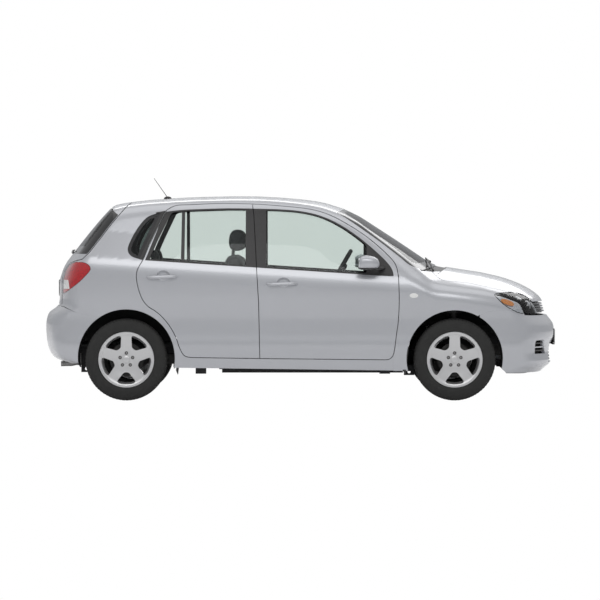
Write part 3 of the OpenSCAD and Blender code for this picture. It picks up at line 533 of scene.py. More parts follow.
# %% Shut lines and window lines of the side
PANEL, DOOR, FRAME, GLASS_T, GAP, SEAT = 26, 46, 70, 5, 5.4, 0.3
FRONT_X, REAR_X = 1167.5, -1322.5
roof_rail = curve([[-1020, 1446], [-951, 1480], [-838, 1487], [-611, 1496], [-369, 1492], [-157, 1478],
                   [70, 1453], [222, 1408], [373, 1328], [524, 1226], [660, 1105], [721, 1029], [741, 938]])
front_shut = curve([[741, 938], [746, 764], [740, 613], [725, 500], [705, 360], [676, 318], [640, 310]])
split_line = [[-369, 1500], [-357, 1408], [-346, 1218], [-333, 976], [-319, 744], [-310, 325], [-310, 300]]
rear_shut = curve([[-800, 327], [-853, 331], [-890, 350], [-921, 409], [-944, 477], [-989, 560],
                   [-1050, 636], [-1103, 681], [-1156, 715], [-1201, 772], [-1232, 860], [-1245, 946],
                   [-1231, 1006], [-1194, 1071], [-1141, 1196], [-1065, 1355], [-1020, 1446]])
glass_top = curve([[-1035, 1431], [-914, 1446], [-762, 1453], [-535, 1459], [-293, 1455], [-157, 1451],
                   [-5, 1438], [146, 1404], [297, 1336], [449, 1234], [600, 1105], [680, 1018], [705, 960]])
door_pair = roof_rail + front_shut + [(640, 310), (-310, 320)] + rear_shut
window_band = glass_top + [(704, 946), (676, 943), (-1180, 1064)]
screen_side = curve([[267, 1434], [373, 1366], [449, 1313], [600, 1207], [751, 1090], [827, 1029],
                     [918, 995]])
hood_seam = curve([[1009, 969], [1062, 923], [1099, 909], [1175, 902], [1281, 891], [1395, 866],
                   [1508, 842], [1600, 822]])
lamp_outline = curve([[1470, 802], [1485, 812], [1546, 819], [1622, 816], [1675, 804], [1724, 782],
                      [1762, 744], [1795, 696], [1808, 662]]) + curve(
                          [[1808, 656], [1735, 656], [1659, 663], [1584, 697], [1531, 735], [1493, 773],
                           [1470, 799]])
tail_lamp = curve([[-1812, 812], [-1812, 878], [-1804, 954], [-1785, 1000], [-1752, 1034], [-1708, 1050],
                   [-1650, 1048], [-1608, 1030], [-1594, 1002], [-1606, 975], [-1670, 908], [-1746, 848],
                   [-1812, 806]])
bumper_seam = [(1357, 651), (1432, 677), (1508, 683), (1584, 683), (1659, 651), (1735, 644), (2000, 636)]
rear_seam = [(-2000, 726), (-1880, 722), (-1800, 712), (-1700, 668), (-1560, 640), (-1500, 640)]
gate_line = [(-1307, 1620), (-1307, 1499)] + curve(
    [[-1307, 1499], [-1383, 1408], [-1443, 1336], [-1519, 1234], [-1595, 1135], [-1625, 1104],
     [-1664, 1066]]) + [(-1708, 1060), (-1760, 1042), (-1798, 1000), (-1818, 950), (-1824, 878),
                        (-1824, 740), (-1824, 725)]
gate_area = gate_line + [(-2100, 725), (-2100, 1620)]
quarter_outline = curve([[-1066, 1422], [-1103, 1418], [-1178, 1384], [-1254, 1287], [-1306, 1180],
                         [-1310, 1130], [-1284, 1096], [-1236, 1078], [-1214, 1092], [-1160, 1210],
                         [-1090, 1365], [-1066, 1422]])


def front_arch(grow=0):
    return side_prism(circle(FRONT_X, 320, 366 + grow))


def rear_arch(grow=0):
    return side_prism(circle(REAR_X, 324, 369 + grow))


def screen_top_x(y):
    return 344 - 77 * (y / 600) ** 2


def screen_base_x(y):
    return 1045 - 127 * (y / 680) ** 2


def hood_rear_x(y):
    return 1138 - 129 * (y / 660) ** 2


ditch = [(-1307, 548.3), (-1000, 572), (-500, 586), (0, 584), (150, 577.3), (277, 571)]
hood_half = [(x, side_point(x, z)[1]) for x, z in hood_seam] + [(1640, 900), (2100, 900)]
hood_back = [(hood_rear_x(t * hood_half[0][1]), t * hood_half[0][1]) for t in np.linspace(-1, 1, 25)]
hood_plan = hood_back + hood_half + [(x, -y) for x, y in hood_half[::-1]]
roof_front = [(screen_top_x(y), y) for y in np.linspace(560, -560, 17)]
roof_plan = ditch + roof_front + [(x, -y) for x, y in ditch[::-1]]
inner_roof = ditch + [(400, 571), (400, 0), (-1307, 0)]
print("outlines ready; roof ditch width", 2 * ditch[2][1])

# %% [markdown]
# ## Making a piece
# A cut panel has three kinds of face: the painted outside, the inside, and the cut edge. The
# outside takes its shading normal straight from the surface function, so that facets never show.


# %% Pieces from panels
def sort_faces(mesh, depth):
    """0 for the outside, 1 for the inside and 2 for the cut edges, and each face's normal."""
    count = len(mesh.polygons)
    centre, normal = np.zeros(count * 3), np.zeros(count * 3)
    mesh.polygons.foreach_get("center", centre)
    mesh.polygons.foreach_get("normal", normal)
    centre, normal = centre.reshape(-1, 3), normal.reshape(-1, 3)
    lean = np.einsum("ij,ij->i", skin_normal(centre), normal)
    deep = skin(centre) < -depth * 0.6
    return np.where((lean > 0.93) & ~deep, 0, np.where((lean < -0.93) & deep, 1, 2)), normal


def shade(mesh, kinds, normals):
    """Smooth normals from the surface function outside and inside, flat ones on the edges."""
    loops = len(mesh.loops)
    vertex = np.zeros(loops, np.int32)
    mesh.loops.foreach_get("vertex_index", vertex)
    co = np.zeros(len(mesh.vertices) * 3)
    mesh.vertices.foreach_get("co", co)
    smooth = skin_normal(co.reshape(-1, 3))[vertex]
    totals = np.zeros(len(mesh.polygons), np.int32)
    mesh.polygons.foreach_get("loop_total", totals)
    kind = np.repeat(kinds, totals)[:, None]
    flat = np.repeat(normals, totals, axis=0)
    chosen = np.where(kind == 0, smooth, np.where(kind == 1, -smooth, flat))
    mesh.polygons.foreach_set("use_smooth", np.ones(len(mesh.polygons), bool))
    mesh.normals_split_custom_set(chosen.tolist())


def join_meshes(name, meshes):
    """Several meshes as one, with their normals and material numbers kept."""
    made = []
    for mesh in meshes:
        ob = bpy.data.objects.new(name, mesh)
        scene.collection.objects.link(ob)
        made.append(ob)
    with bpy.context.temp_override(active_object=made[0], selected_editable_objects=made,
                                   selected_objects=made):
        bpy.ops.object.join()
    mesh = made[0].data
    bpy.data.objects.remove(made[0])
    return mesh


def place(name, mesh, body, slot, materials, nodes=()):
    """A finished piece in metres, riding a body, standing for CAD nodes."""
    mesh.transform(Matrix.Scale(MM, 4))
    mesh.materials.clear()
    for material in materials:
        mesh.materials.append(material)
    ob = bpy.data.objects.new(name, mesh)
    scene.collection.objects.link(ob)
    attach(ob, body)
    if nodes:
        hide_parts(*nodes)
    return ob


def mirrored(mesh):
    """A copy for the other side of the car."""
    twin = mesh.copy()
    twin.transform(Matrix.Scale(-1, 4, (0, 1, 0)))
    twin.flip_normals()
    return twin


def panel(name, mesh, depth, body, slot, materials, nodes=(), sides=""):
    """Shades and places a cut panel. sides is both, left or right, or empty for a middle panel."""
    def ready(m):
        kinds, normals = sort_faces(m, depth)
        m.polygons.foreach_set("material_index",
                               np.minimum(kinds, len(materials) - 1).astype(np.int32))
        shade(m, kinds, normals)
        return m
    if sides == "both":
        mesh = join_meshes(name, [ready(mesh), ready(mirrored(mesh))])
    elif sides == "right":
        mesh = ready(mirrored(mesh))
    else:
        mesh = ready(mesh)
    return place(name, mesh, body, slot, materials, nodes)


# %% [markdown]
# ## Roof, fenders, body sides
# These are welded to the body and never move. The roof is bounded by the ditches above the doors,
# and the fender wraps from the wheel arch up to the hood's shut line.

# %% Fixed body panels
shell_panel = layer(0, PANEL)
panel("roof_skin", carve(shell_panel.copy(), [keep(plan_prism(offset(roof_plan, -SEAT))),
                                              keep(side_prism([(-1304, 1200), (400, 1200), (400, 1700),
                                                               (-1304, 1700)], -900, 900))]),
      PANEL, "car_body", "body_paint", [PAINT, GREY_LINING, PAINT], ["roof_panel"])

fender_area = [(700.3, 226), (700.3, 340), (728, 500), (736, 600), (742, 760), (744, 982.7),
               (918, 982.7), (1009, 975), (1700, 975),
               (1700, 560), (1200, 560), (1000, 226)]
below_seam = [(1200, 560)] + [(x, z + SEAT) for x, z in bumper_seam] + [(2000, 500)]
fender = carve(shell_panel.copy(), [keep(side_prism(fender_area)),
                                    drop(side_prism(offset(door_pair, GAP / 2))), drop(front_arch()),
                                    drop(side_prism(offset(lamp_outline, 1.2))),
                                    drop(side_prism(below_seam)), drop(plan_prism(offset(hood_plan, GAP)))])
panel("fender_skins", fender, PANEL, "car_body", "body_paint", [PAINT, LINER, PAINT], ["fenders"], "both")

shell_frame = layer(0, FRAME)
side_area = [(-2000, 560), (-2000, 1700), (262, 1700), (262, 1433.6)] + [
    (x, z - SEAT) for x, z in screen_side] + [(918, 983), (752, 983), (640, 600), (700, 400), (700, 229),
                                               (-5, 238), (-980, 250)]
rear_low = rear_seam + [(-1500, 0), (-2100, 0)]
side_wall = carve(shell_frame.copy(), [
    keep(side_prism(side_area, 400)), drop(side_prism(offset(door_pair, GAP / 2))),
    drop(side_prism(quarter_outline)), drop(front_arch()), drop(rear_arch()),
    drop(side_prism(offset(tail_lamp, 1.2))), drop(side_prism(offset(gate_area, GAP / 2))),
    drop(side_prism(rear_low)), drop(plan_prism([(-2100, -470), (2100, -470), (2100, 470), (-2100, 470)])),
    drop(carve(layer(-9, PANEL + 1.5), [keep(plan_prism(inner_roof))]))])
panel("body_side_skins", side_wall, FRAME, "car_body", "body_paint", [PAINT, LINING, PAINT],
      ["side_frames"], "both")
centre_pillar = carve(layer(DOOR + 5.4, 92), [keep(side_prism(
    [(-420, 1512), (-300, 1512), (-268, 980), (-236, 262), (-402, 262), (-384, 980)], 400))])
hinge_pillar = carve(layer(PANEL + 4, 78), [
    keep(side_prism([(690, 232), (690, 316), (749, 560), (752, 990), (830, 1010), (880, 985), (846, 700),
                     (800, 520), (790, 232)], 400)),
    drop(side_prism(offset(door_pair, GAP / 2))), drop(front_arch(8))])
panel("centre_pillars", centre_pillar, 92, "car_body", "body_paint", [LINING], (), "both")
# The hinge pillars, seen in the shut gaps, take the darker grey as painted shade.
panel("hinge_pillars", hinge_pillar, 78, "car_body", "body_paint", [SHADE_GREY], (), "both")
print("fixed panels placed")

# %% [markdown]
# ## Hood and bumpers
# The hood is one pressing with a sharp rear edge. The bumpers are moulded skins that wrap round the
# ends; the front one is pierced by a lower intake and two fog lamp recesses.

# %% Hood and bumpers
hood = carve(shell_panel.copy(), [
    keep(plan_prism(hood_plan)),
    keep(side_prism([(900, 700), (1470, 700), (1470, 760), (1762, 747), (2100, 747), (2100, 1200),
                     (900, 1200)], -900, 900)), drop(side_prism(offset(lamp_outline, GAP), -950, 950))])
panel("hood_skin", hood, PANEL, "hood_lid", "body_paint", [PAINT, LINER, PAINT], ["hood"])

intake = offset([(-360, 300), (360, 300), (330, 400), (-330, 400)], 20)
fog_hole = [(466, 350), (660, 350), (676, 452), (560, 456)]
mirror_fog = [(-a, b) for a, b in fog_hole[::-1]]
front_area = [(1357, 320), (1357, 651)] + bumper_seam[1:] + [(2100, 640), (2100, 204), (1560, 210),
                                                              (1500, 262)]
front_skin = carve(shell_panel.copy(), [
    keep(side_prism(front_area, -950, 950)), drop(side_prism(circle(FRONT_X, 320, 366), -950, 950)),
    drop(side_prism(offset(lamp_outline, 1.2), -950, 950)), drop(prism(intake, "x", 1500, 2100)),
    drop(prism(fog_hole, "x", 1500, 2100)), drop(prism(mirror_fog, "x", 1500, 2100))])
panel("front_bumper_skin", front_skin, PANEL, "car_body", "body_paint", [PAINT, LINER, PAINT],
      ["front_bumper"])

rear_area = [(x, z - SEAT - (GAP if x < -1790 else 0)) for x, z in rear_seam] + [
    (-1500, 300), (-1690, 282), (-2100, 262), (-2100, 715)]
rear_skin = carve(shell_panel.copy(), [
    keep(side_prism(rear_area, -950, 950)), drop(side_prism(circle(REAR_X, 324, 369), -950, 950)),
    drop(side_prism(offset(tail_lamp, 1.2), -950, 950))])
panel("rear_bumper_skin", rear_skin, PANEL, "car_body", "body_paint", [PAINT, LINER, PAINT],
      ["rear_bumper"])

# %% [markdown]
# ## Grille and dark openings
# The upper grille is a row of thin slats in front of a dark panel. Behind the lower intake and the
# fog lamp recesses sits a black moulding, and a black lip closes the bumper at the bottom.

# %% Grilles and lower lip
grille_area = [(1740, 664), (2000, 652), (2000, 741), (1740, 741)]
back_panel = carve(layer(30, 42), [keep(side_prism(grille_area, -950, 950)),
                                   drop(side_prism(offset(lamp_outline, 1), -950, 950))])
panel("grille_back", back_panel, 42, "car_body", "black_trim", [TRIM], ["grille"])
for number in range(4):
    z = 668 + 19 * number
    bar_line = [(1740, z), (2000, z), (2000, z + 7), (1740, z + 7)]
    bar = carve(layer(10, 31), [keep(side_prism(bar_line, -950, 950)),
                                drop(side_prism(offset(lamp_outline, 1), -950, 950))])
    panel("grille_slat_%d" % number, bar, 31, "car_body", "black_trim", [GLOSS_BLACK])
low_back = carve(layer(PANEL + 12, PANEL + 24), [keep(prism(offset(intake, 30), "x", 1500, 2100))])
panel("intake_back", low_back, 50, "car_body", "black_trim", [LINER])
for number in range(5):
    z = 296 + 24 * number
    bar = carve(layer(12, 30), [keep(prism([(-365, z), (365, z), (365, z + 8), (-365, z + 8)], "x", 1500,
                                           2100))])
    panel("intake_slat_%d" % number, bar, 30, "car_body", "black_trim", [TRIM])
for tag, hole in (("left", fog_hole), ("right", mirror_fog)):
    back = carve(layer(PANEL + 22, PANEL + 34), [keep(prism(offset(hole, 14), "x", 1500, 2100))])
    panel("fog_recess_%s" % tag, back, 60, "car_body", "black_trim", [LINER])
    a0, a1 = min(p[0] for p in hole), max(p[0] for p in hole)
    for z, material in ((396, PAINT), (370, TRIM), (426, TRIM)):
        slat = carve(layer(6, 26), [keep(prism([(a0 - 6, z), (a1 + 6, z), (a1 + 6, z + 9), (a0 - 6, z + 9)],
                                               "x", 1500, 2100))])
        panel("fog_slat_%s_%d" % (tag, z), slat, 26, "car_body", "black_trim", [material])
lip_area = [(1538, 244), (1560, 206), (1700, 203), (1790, 214), (1830, 240), (1830, 262), (1538, 262)]
lip = carve(layer(14, 34), [keep(side_prism(lip_area, -950, 950))])
panel("front_lip", lip, 34, "car_body", "black_trim", [TRIM])

# %% [markdown]
# ## Doors
# A closed door is a 46 mm thick box, cut by its shut lines and its window. The frame round the glass
# is painted black, so each door is two pieces: the silver skin and the black frame. The handle
# recess is a real dish, cut by a flattened ball; the dish and the door's cut edges are coloured a
# darker grey as painted shade.


# %% Doors
def pod(centre, radii, power=2.6, u=64, v=32):
    """A closed rounded box in millimetres: power 2 is an ellipsoid, more is squarer."""
    def bend(c):
        return math.copysign(abs(c) ** (2 / power), c)

    verts = [(0, 0, -1)]
    for j in range(1, v):
        t = math.pi * (j / v - 0.5)
        for i in range(u):
            a = 2 * math.pi * i / u
            verts.append((bend(math.cos(t)) * bend(math.cos(a)), bend(math.cos(t)) * bend(math.sin(a)),
                          bend(math.sin(t))))
    verts.append((0, 0, 1))
    faces = [tuple(1 + k for k in face) for face in grid(v - 1, u)]
    last = len(verts) - 1
    for i in range(u):
        faces.append((0, 1 + (i + 1) % u, 1 + i))
        faces.append((last, last - u + i, last - u + (i + 1) % u))
    return raw_mesh("pod", [np.array(p) * radii + centre for p in verts], faces)


def ball(centre, radii, u=40, v=20):
    return pod(centre, radii, 2, u, v)


door_area = {
    "front": [(p[0], p[1]) for p in split_line] + [(1000, 300), (1000, 1600), (-369, 1600)],
    "rear": [(p[0], p[1]) for p in split_line] + [(-1400, 300), (-1400, 1600), (-369, 1600)]}
window_cut = {
    "front": [keep(side_prism(offset(window_band, -12))),
              keep(side_prism([(-262, 900), (500, 900), (500, 1500), (-262, 1500)]))],
    "rear": [keep(side_prism(offset(window_band, -12))), keep(side_prism(offset(door_pair, -42))),
             keep(side_prism([(-1400, 900), (-418, 900), (-418, 1500), (-1400, 1500)]))]}
handles = {"front": (-141, 885), "rear": (-1051, 938)}
shell_door = layer(0, DOOR)


def window_solid(end, grow=0.0):
    """The window opening of a door as a solid, through the whole side."""
    area = [(-2000, 800), (1200, 800), (1200, 1600), (-2000, 1600)]
    return carve(side_prism(area), window_cut[end])


def door_panels(end, side):
    x, z = handles[end]
    body = "%s_%s_door" % (end, side)
    seat = side_point(x + 11, z + 12)
    shape = [keep(side_prism(offset(door_pair, -GAP / 2))),
             keep(side_prism(offset(door_area[end], -GAP / 2))),
             drop(window_solid(end)), drop(plan_prism(offset(inner_roof, GAP)))]
    band = side_prism(window_band)
    skin_mesh = carve(shell_door.copy(), shape + [drop(band), drop(ball(seat + np.array([0, 6, 0]),
                                                                        np.array([52, 22, 43])))])
    # The door's cut edges and handle dish take the darker grey, as painted shade.
    panel("%s_door_skin_%s" % (end, side), skin_mesh, DOOR, body, "body_paint", [PAINT, LINING, SHADE_GREY],
          ["%s_door_%s" % (end, side)], side)
    frame_mesh = carve(layer(0.6, DOOR), shape + [keep(side_prism(window_band))])
    panel("%s_door_frame_%s" % (end, side), frame_mesh, DOOR, body, "black_trim", [TRIM, LINING, TRIM], (),
          side)
    pane = carve(layer(14, 14 + GLASS_T), [keep(window_solid(end))])
    panel("%s_door_pane_%s" % (end, side), pane, 22, body, "glass", [GLASS], ["%s_glass_%s" % (end, side)],
          side)
    if end == "rear":
        bar = carve(layer(5, 26), [keep(window_solid(end)), keep(side_prism(
            [(-910, 900), (-883, 900), (-879, 1500), (-903, 1500)]))])
        panel("rear_window_bar_%s" % side, bar, 26, body, "black_trim", [TRIM], (), side)
    handle(end, side, body, x, z)


def handle(end, side, body, x, z):
    """The grab bar: a flattened rounded bar that stands off the skin on two feet."""
    rows, turns, half = 25, 20, 115
    verts, faces = [], []
    for i in range(rows):
        t = -1 + 2 * i / (rows - 1)
        grip = math.sqrt(max(1 - abs(t) ** 5, 0.02))
        base = side_point(x + t * half, z + 4 * t)
        out = 9 + 20 * (1 - abs(t) ** 4)
        for j in range(turns):
            a = 2 * math.pi * j / turns
            verts.append(base + np.array([0, out + 8 * grip * math.cos(a), 12.5 * grip * math.sin(a)]))
    faces = grid(rows, turns) + lids(rows, turns)
    mesh = raw_mesh("handle", verts, faces)
    feet = [ball(side_point(x + t * half * 0.9, z), np.array([16, 16, 10]), 20, 10) for t in (-1, 1)]
    mesh = join_meshes("handle", [mesh] + feet)
    mesh.polygons.foreach_set("use_smooth", np.ones(len(mesh.polygons), bool))
    if side == "right":
        mesh = mirrored(mesh)
    place("%s_handle_%s" % (end, side), mesh, body, "body_paint", [PAINT])


for side in ("left", "right"):
    for end in ("front", "rear"):
        door_panels(end, side)
print("doors and handles placed")

# %% [markdown]
# ## Tailgate and fixed glass
# The tailgate holds a bonded rear window with a black painted border. Windscreen and quarter windows
# are bonded as well, flush with the metal round them.

# %% Tailgate, windscreen and quarter glass
gate_glass = [(-1380, 1400), (-1428, 1440), (-1600, 1530), (-2000, 1530), (-2000, 1112), (-1600, 1112)]
gate_hole = [(-1370, 1350), (-1400, 1420), (-1600, 1600), (-2000, 1500), (-2000, 1170), (-1500, 1170)]


def wide(outline):
    return side_prism(outline, -950, 950)


def gate_pane(thin, grow):
    return carve(thin, [keep(wide(offset(gate_area, -GAP / 2 - 3 + grow))), keep(wide(offset(gate_glass,
                                                                                             grow)))])


gate = carve(shell_door.copy(), [
    keep(wide(offset(gate_area, -GAP / 2))), drop(gate_pane(layer(-9, GLASS_T + SEAT), 0)),
    drop(carve(wide(offset(gate_area, -60)), [keep(wide(gate_hole))]))])
panel("tailgate_skin", gate, DOOR, "tail_door", "body_paint", [PAINT, LINING, PAINT], ["tailgate"])
rear_pane = gate_pane(layer(0, GLASS_T), -SEAT)
clear_area = carve(wide(offset(gate_area, -58)), [keep(wide(gate_hole))])
panel("rear_window", carve(rear_pane.copy(), [keep(clear_area.copy())]), 6, "tail_door", "dark_glass",
      [DARK_GLASS], ["tailgate_glass"])
panel("rear_window_border", carve(rear_pane, [drop(clear_area)]), 6, "tail_door", "dark_glass",
      [GLOSS_BLACK])

screen_plan = [(screen_top_x(y) + SEAT, y) for y in np.linspace(-760, 760, 21)] + [
    (screen_base_x(y), y) for y in np.linspace(760, -760, 21)]
screen_area = screen_side + [(930, 985), (1100, 980), (1100, 1700), (262, 1700), (262, 1434)]
screen = carve(layer(1, 1 + GLASS_T), [keep(plan_prism(screen_plan)), keep(wide(screen_area))])
inside = [(screen_top_x(y) + 34, y) for y in np.linspace(-760, 760, 21)] + [
    (screen_base_x(y) - 60, y) for y in np.linspace(760, -760, 21)]
clear_screen = carve(plan_prism(inside), [keep(wide([(x + 14, z + 26) for x, z in screen_side] + [
    (1100, 1020), (1100, 1700), (262, 1700)]))])
panel("windscreen_pane", carve(screen.copy(), [keep(clear_screen.copy())]), 7, "car_body", "glass", [GLASS],
      ["windscreen"])
panel("windscreen_border", carve(screen, [drop(clear_screen)]), 7, "car_body", "glass", [GLOSS_BLACK])

quarter = carve(layer(4, 4 + GLASS_T), [keep(side_prism(offset(quarter_outline, -SEAT), 400))])
quarter_clear = side_prism(offset(quarter_outline, -26), 400)
panel("quarter_panes", carve(quarter.copy(), [keep(quarter_clear.copy())]), 10, "car_body", "dark_glass",
      [DARK_GLASS], ["quarter_glass"], "both")
panel("quarter_borders", carve(quarter, [drop(quarter_clear)]), 10, "car_body", "dark_glass",
      [GLOSS_BLACK], (), "both")

cowl_plan = [(screen_base_x(y) + 2, y) for y in np.linspace(-690, 690, 21)] + [
    (hood_rear_x(y) - GAP, y) for y in np.linspace(690, -690, 21)]
cowl = carve(layer(8, 30), [keep(plan_prism(cowl_plan)), keep(wide([(880, 984), (918, 984), (1009, 977),
                                                                     (1150, 977), (1150, 1100),
                                                                      (880, 1100)]))])
panel("cowl_grille", cowl, 30, "car_body", "black_trim", [TRIM], ["cowl_panel"])

# %% [markdown]
# ## Black strip beside the quarter window
# The pillar between the rear door and the quarter window is covered by a thin black applique, so
# door window and quarter window read as one dark band.

# %% Quarter applique
strip = carve(layer(-1.2, 2), [
    keep(side_prism([(-1100, 1429), (-1066, 1434), (-1000, 1446), (-1000, 1300), (-1100, 1060), (-1180, 1060),
                     (-1238, 1078), (-1190, 1160), (-1120, 1330)], 400)),
    drop(side_prism(offset(door_pair, GAP / 2 + 0.4), 400)),
    drop(side_prism(offset(quarter_outline, -1), 400))])
panel("quarter_appliques", strip, 4, "car_body", "black_trim", [TRIM], (), "both")

# %% [markdown]
# ## Wheel house liners
# Black moulded liners close the arches above the tyres, with a small flap behind each wheel.


# %% Liners and mud flaps
def ring_prism(x, z, r):
    ring = carve(side_prism(circle(x, z, r + 8), 470, 900), [drop(side_prism(circle(x, z, r + 1), 460, 910))])
    return carve(ring, [keep(side_prism([(x - 500, 245), (x + 500, 245), (x + 500, 900), (x - 500, 900)],
                                        460, 910))])


front_liner = carve(raw_mesh("h", *hull(8)), [keep(ring_prism(FRONT_X, 320, 364))])
rear_liner = carve(raw_mesh("h", *hull(8)), [keep(ring_prism(REAR_X, 324, 367))])
rear_wall = side_prism([(x, z) for x, z in circle(REAR_X, 324, 380) if z > 440], 551, 558)
front_wall = side_prism([(x, z) for x, z in circle(FRONT_X, 320, 368) if z > 560], 471, 478)
liners = [front_liner, front_wall, rear_liner, rear_wall]
place("wheel_house_liners", join_meshes("liners", liners + [mirrored(m) for m in liners]), "car_body",
      "black_trim", [LINER], ["arch_liners"])
flaps = []
for x0, lean in ((790, -18), (-936, -10)):
    flaps.append(side_prism([(x0 + 30, 410), (x0 + 4, 197), (x0 + lean, 230), (x0 + 14, 410)], 690, 812))
place("mud_flaps", join_meshes("flaps", flaps + [mirrored(m) for m in flaps]), "car_body", "black_trim",
      [TRIM])
print("liners placed")

# %% [markdown]
# ## Lamps
# Each headlamp is a clear moulded cover over reflector bowls, each tail lamp a red moulded cover. The
# cover follows the body skin; the front indicator is an orange bulb cover low in the middle of the lamp.

# %% Lamps
lamp_zone = side_prism(offset(lamp_outline, -1.5))
tail_zone = side_prism(offset(tail_lamp, -1.5))
panel("headlamp_covers", carve(layer(0.5, 3.5), [keep(lamp_zone.copy())]), 4, "car_body", "lamp_clear",
      [LENS], ["headlamps"], "both")
panel("headlamp_shells", carve(layer(16, 30), [keep(lamp_zone.copy())]), 30, "car_body", "lamp_clear",
      [LAMP_SHELL], (), "both")
rim_band = carve(layer(4, 16), [keep(lamp_zone.copy()), drop(side_prism(offset(lamp_outline, -5)))])
panel("headlamp_rims", rim_band, 16, "car_body", "lamp_clear", [GLOSS_BLACK], (), "both")
bulb_zone = side_prism(curve([[1518, 756], [1540, 738], [1580, 722], [1612, 718], [1618, 736], [1596, 756],
                              [1548, 772], [1518, 768]]))
panel("front_indicators", carve(layer(6, 15), [keep(bulb_zone), keep(lamp_zone.copy())]), 15, "car_body",
      "lamp_clear", [ORANGE], (), "both")


def bowl(centre, aim, r, depth):
    """A thin parabolic reflector that opens along aim."""
    rows, turns = 9, 40
    aim = np.array(aim) / np.linalg.norm(aim)
    side = np.cross(aim, (0, 0, 1.0))
    side /= np.linalg.norm(side)
    up = np.cross(side, aim)
    verts, faces = [], []
    line = [(r * i / rows, depth * (i / rows) ** 2) for i in range(1, rows + 1)]
    line += [(a + 2, b) for a, b in line[::-1]]
    for a, b in line:
        for j in range(turns):
            t = 2 * math.pi * j / turns
            verts.append(np.array(centre) + aim * b + a * (side * math.cos(t) + up * math.sin(t)))
    n = len(line)
    for i in range(n):
        for j in range(turns):
            a, b, c = i * turns + j, i * turns + (j + 1) % turns, ((i + 1) % n) * turns
            faces.append((a, b, c + (j + 1) % turns, c + j))
    return raw_mesh("bowl", verts, faces)


bowls, bulbs = [], []
for x, z, r in ((1722, 718, 36), (1652, 764, 30)):
    spot = side_point(x, z, 14)
    out_way = skin_normal(side_point(x, z)[None])[0]
    bowls.append(bowl(spot, out_way, r, 9))
    bulbs.append(ball(spot + 4 * out_way, np.array([9, 9, 9]), 20, 10))
place("headlamp_bowls", join_meshes("bowls", bowls + [mirrored(m) for m in bowls]), "car_body", "lamp_clear",
      [CHROME])
place("headlamp_bulbs", join_meshes("bulbs", bulbs + [mirrored(m) for m in bulbs]), "car_body", "lamp_clear",
      [WHITE_LENS])
reverse = side_prism([(-2100, 846), (-1756, 846), (-1768, 914), (-2100, 914)])
panel("tail_lamp_lenses", carve(layer(0.2, 26), [keep(tail_zone.copy()), drop(reverse.copy())]), 26,
      "car_body", "lamp_red", [RED], ["tail_lamps"], "both")
panel("reversing_lenses", carve(layer(0.2, 26), [keep(tail_zone), keep(reverse)]), 26, "car_body",
      "lamp_red", [WHITE_LENS], (), "both")
for side, sign in (("left", 1), ("right", -1)):
    spot = side_point(857, 798, 1.5)
    lens = ball(spot, np.array([34, 5, 19]), 36, 14)
    place("side_repeater_%s" % side, lens if sign > 0 else mirrored(lens), "car_body", "lamp_clear",
          [WHITE_LENS])

# %% [markdown]
# ## Wheels
# Tyre and alloy wheel are turned round one axis. The tyre gets three straight grooves and shoulder
# blocks; the alloy has five broad spokes with five rounded windows between them, and the brake disc
# shows through the windows.


# %% Wheels
def lathe(profile, turns, wave=None):
    """Turns a closed (radius, height) outline. wave(i, j) moves a ring point outwards."""
    verts, faces, n = [], [], len(profile)
    for j in range(turns):
        a = 2 * math.pi * j / turns
        for i, (r, z) in enumerate(profile):
            r += wave(i, j) if wave else 0
            verts.append((r * math.cos(a), r * math.sin(a), z))
    for j in range(turns):
        k = (j + 1) % turns
        for i in range(n):
            m = (i + 1) % n
            faces.append((j * n + i, k * n + i, k * n + m, j * n + m))
    return raw_mesh("lathe", verts, faces)


RIM_R = 190.5
HUB_Y, HUB_Z = 734, 311
half_tyre = [(RIM_R + 3, 70), (RIM_R + 20, 74), (RIM_R + 25, 86), (RIM_R + 46, 92.3), (RIM_R + 62, 91.5),
             (273, 90), (286, 86.5), (297, 81.5), (304, 76), (308.5, 68), (310.5, 57), (310.8, 40),
             (303.5, 39), (303.5, 31), (311, 30), (311, 5), (303.5, 4)]
tyre_line = half_tyre + [(r, -z) for r, z in half_tyre[::-1]]
BLOCKS = 72


def tread(i, j):
    """Shoulder sipes: the outer tread rings drop between blocks."""
    i = min(i, len(tyre_line) - 1 - i)
    return -4.5 if i in (7, 8, 9, 10, 11) and j % 4 == 3 else 0.0


tyre_mesh = lathe(tyre_line, BLOCKS * 4, tread)
if volume_sign(tyre_mesh) < 0:
    tyre_mesh.flip_normals()


def star(points, low, high):
    return prism(points, "z", low, high)


def turned(outline, degrees):
    a = math.radians(degrees)
    return [(x * math.cos(a) - y * math.sin(a), x * math.sin(a) + y * math.cos(a)) for x, y in outline]


barrel = lathe([(RIM_R - 9, -77), (RIM_R, -82), (RIM_R + 12, -82), (RIM_R + 12, -78), (RIM_R + 2, -74),
                (RIM_R - 6, -60), (RIM_R - 12, 20), (RIM_R - 4, 58), (RIM_R + 2, 69), (RIM_R + 19, 75.5),
                (RIM_R + 22, 79), (RIM_R + 20, 83), (RIM_R + 8, 84), (RIM_R - 2, 80), (RIM_R - 6, 70),
                (RIM_R - 18, 40),
                (RIM_R - 15, -50)], 128)
face = lathe([(14, 62), (30, 62), (60, 61), (84, 62), (120, 68), (150, 73), (172, 75), (RIM_R - 6, 77),
              (RIM_R - 1, 79), (RIM_R - 3, 60), (RIM_R - 20, 50), (120, 42), (70, 34), (14, 34)], 128)
hole = curve([[96, 0], [101, 20], [126, 41], [158, 66], [171, 66], [182, 48], [187, 0], [182, -48],
              [171, -66], [158, -66], [126, -41], [101, -20], [96, 0]])
steps = [drop(star(turned(hole, 126 + 72 * k), 20, 100)) for k in range(5)]
steps += [drop(star(turned([(50 + 13 * math.cos(t), 13 * math.sin(t)) for t in np.linspace(0, 6.28, 24)[:-1]],
                           90 + 72 * k), 30, 80)) for k in range(5)]
for tool_mesh in (barrel, face):
    if volume_sign(tool_mesh) < 0:
        tool_mesh.flip_normals()
face = carve(face, steps)
nuts = []
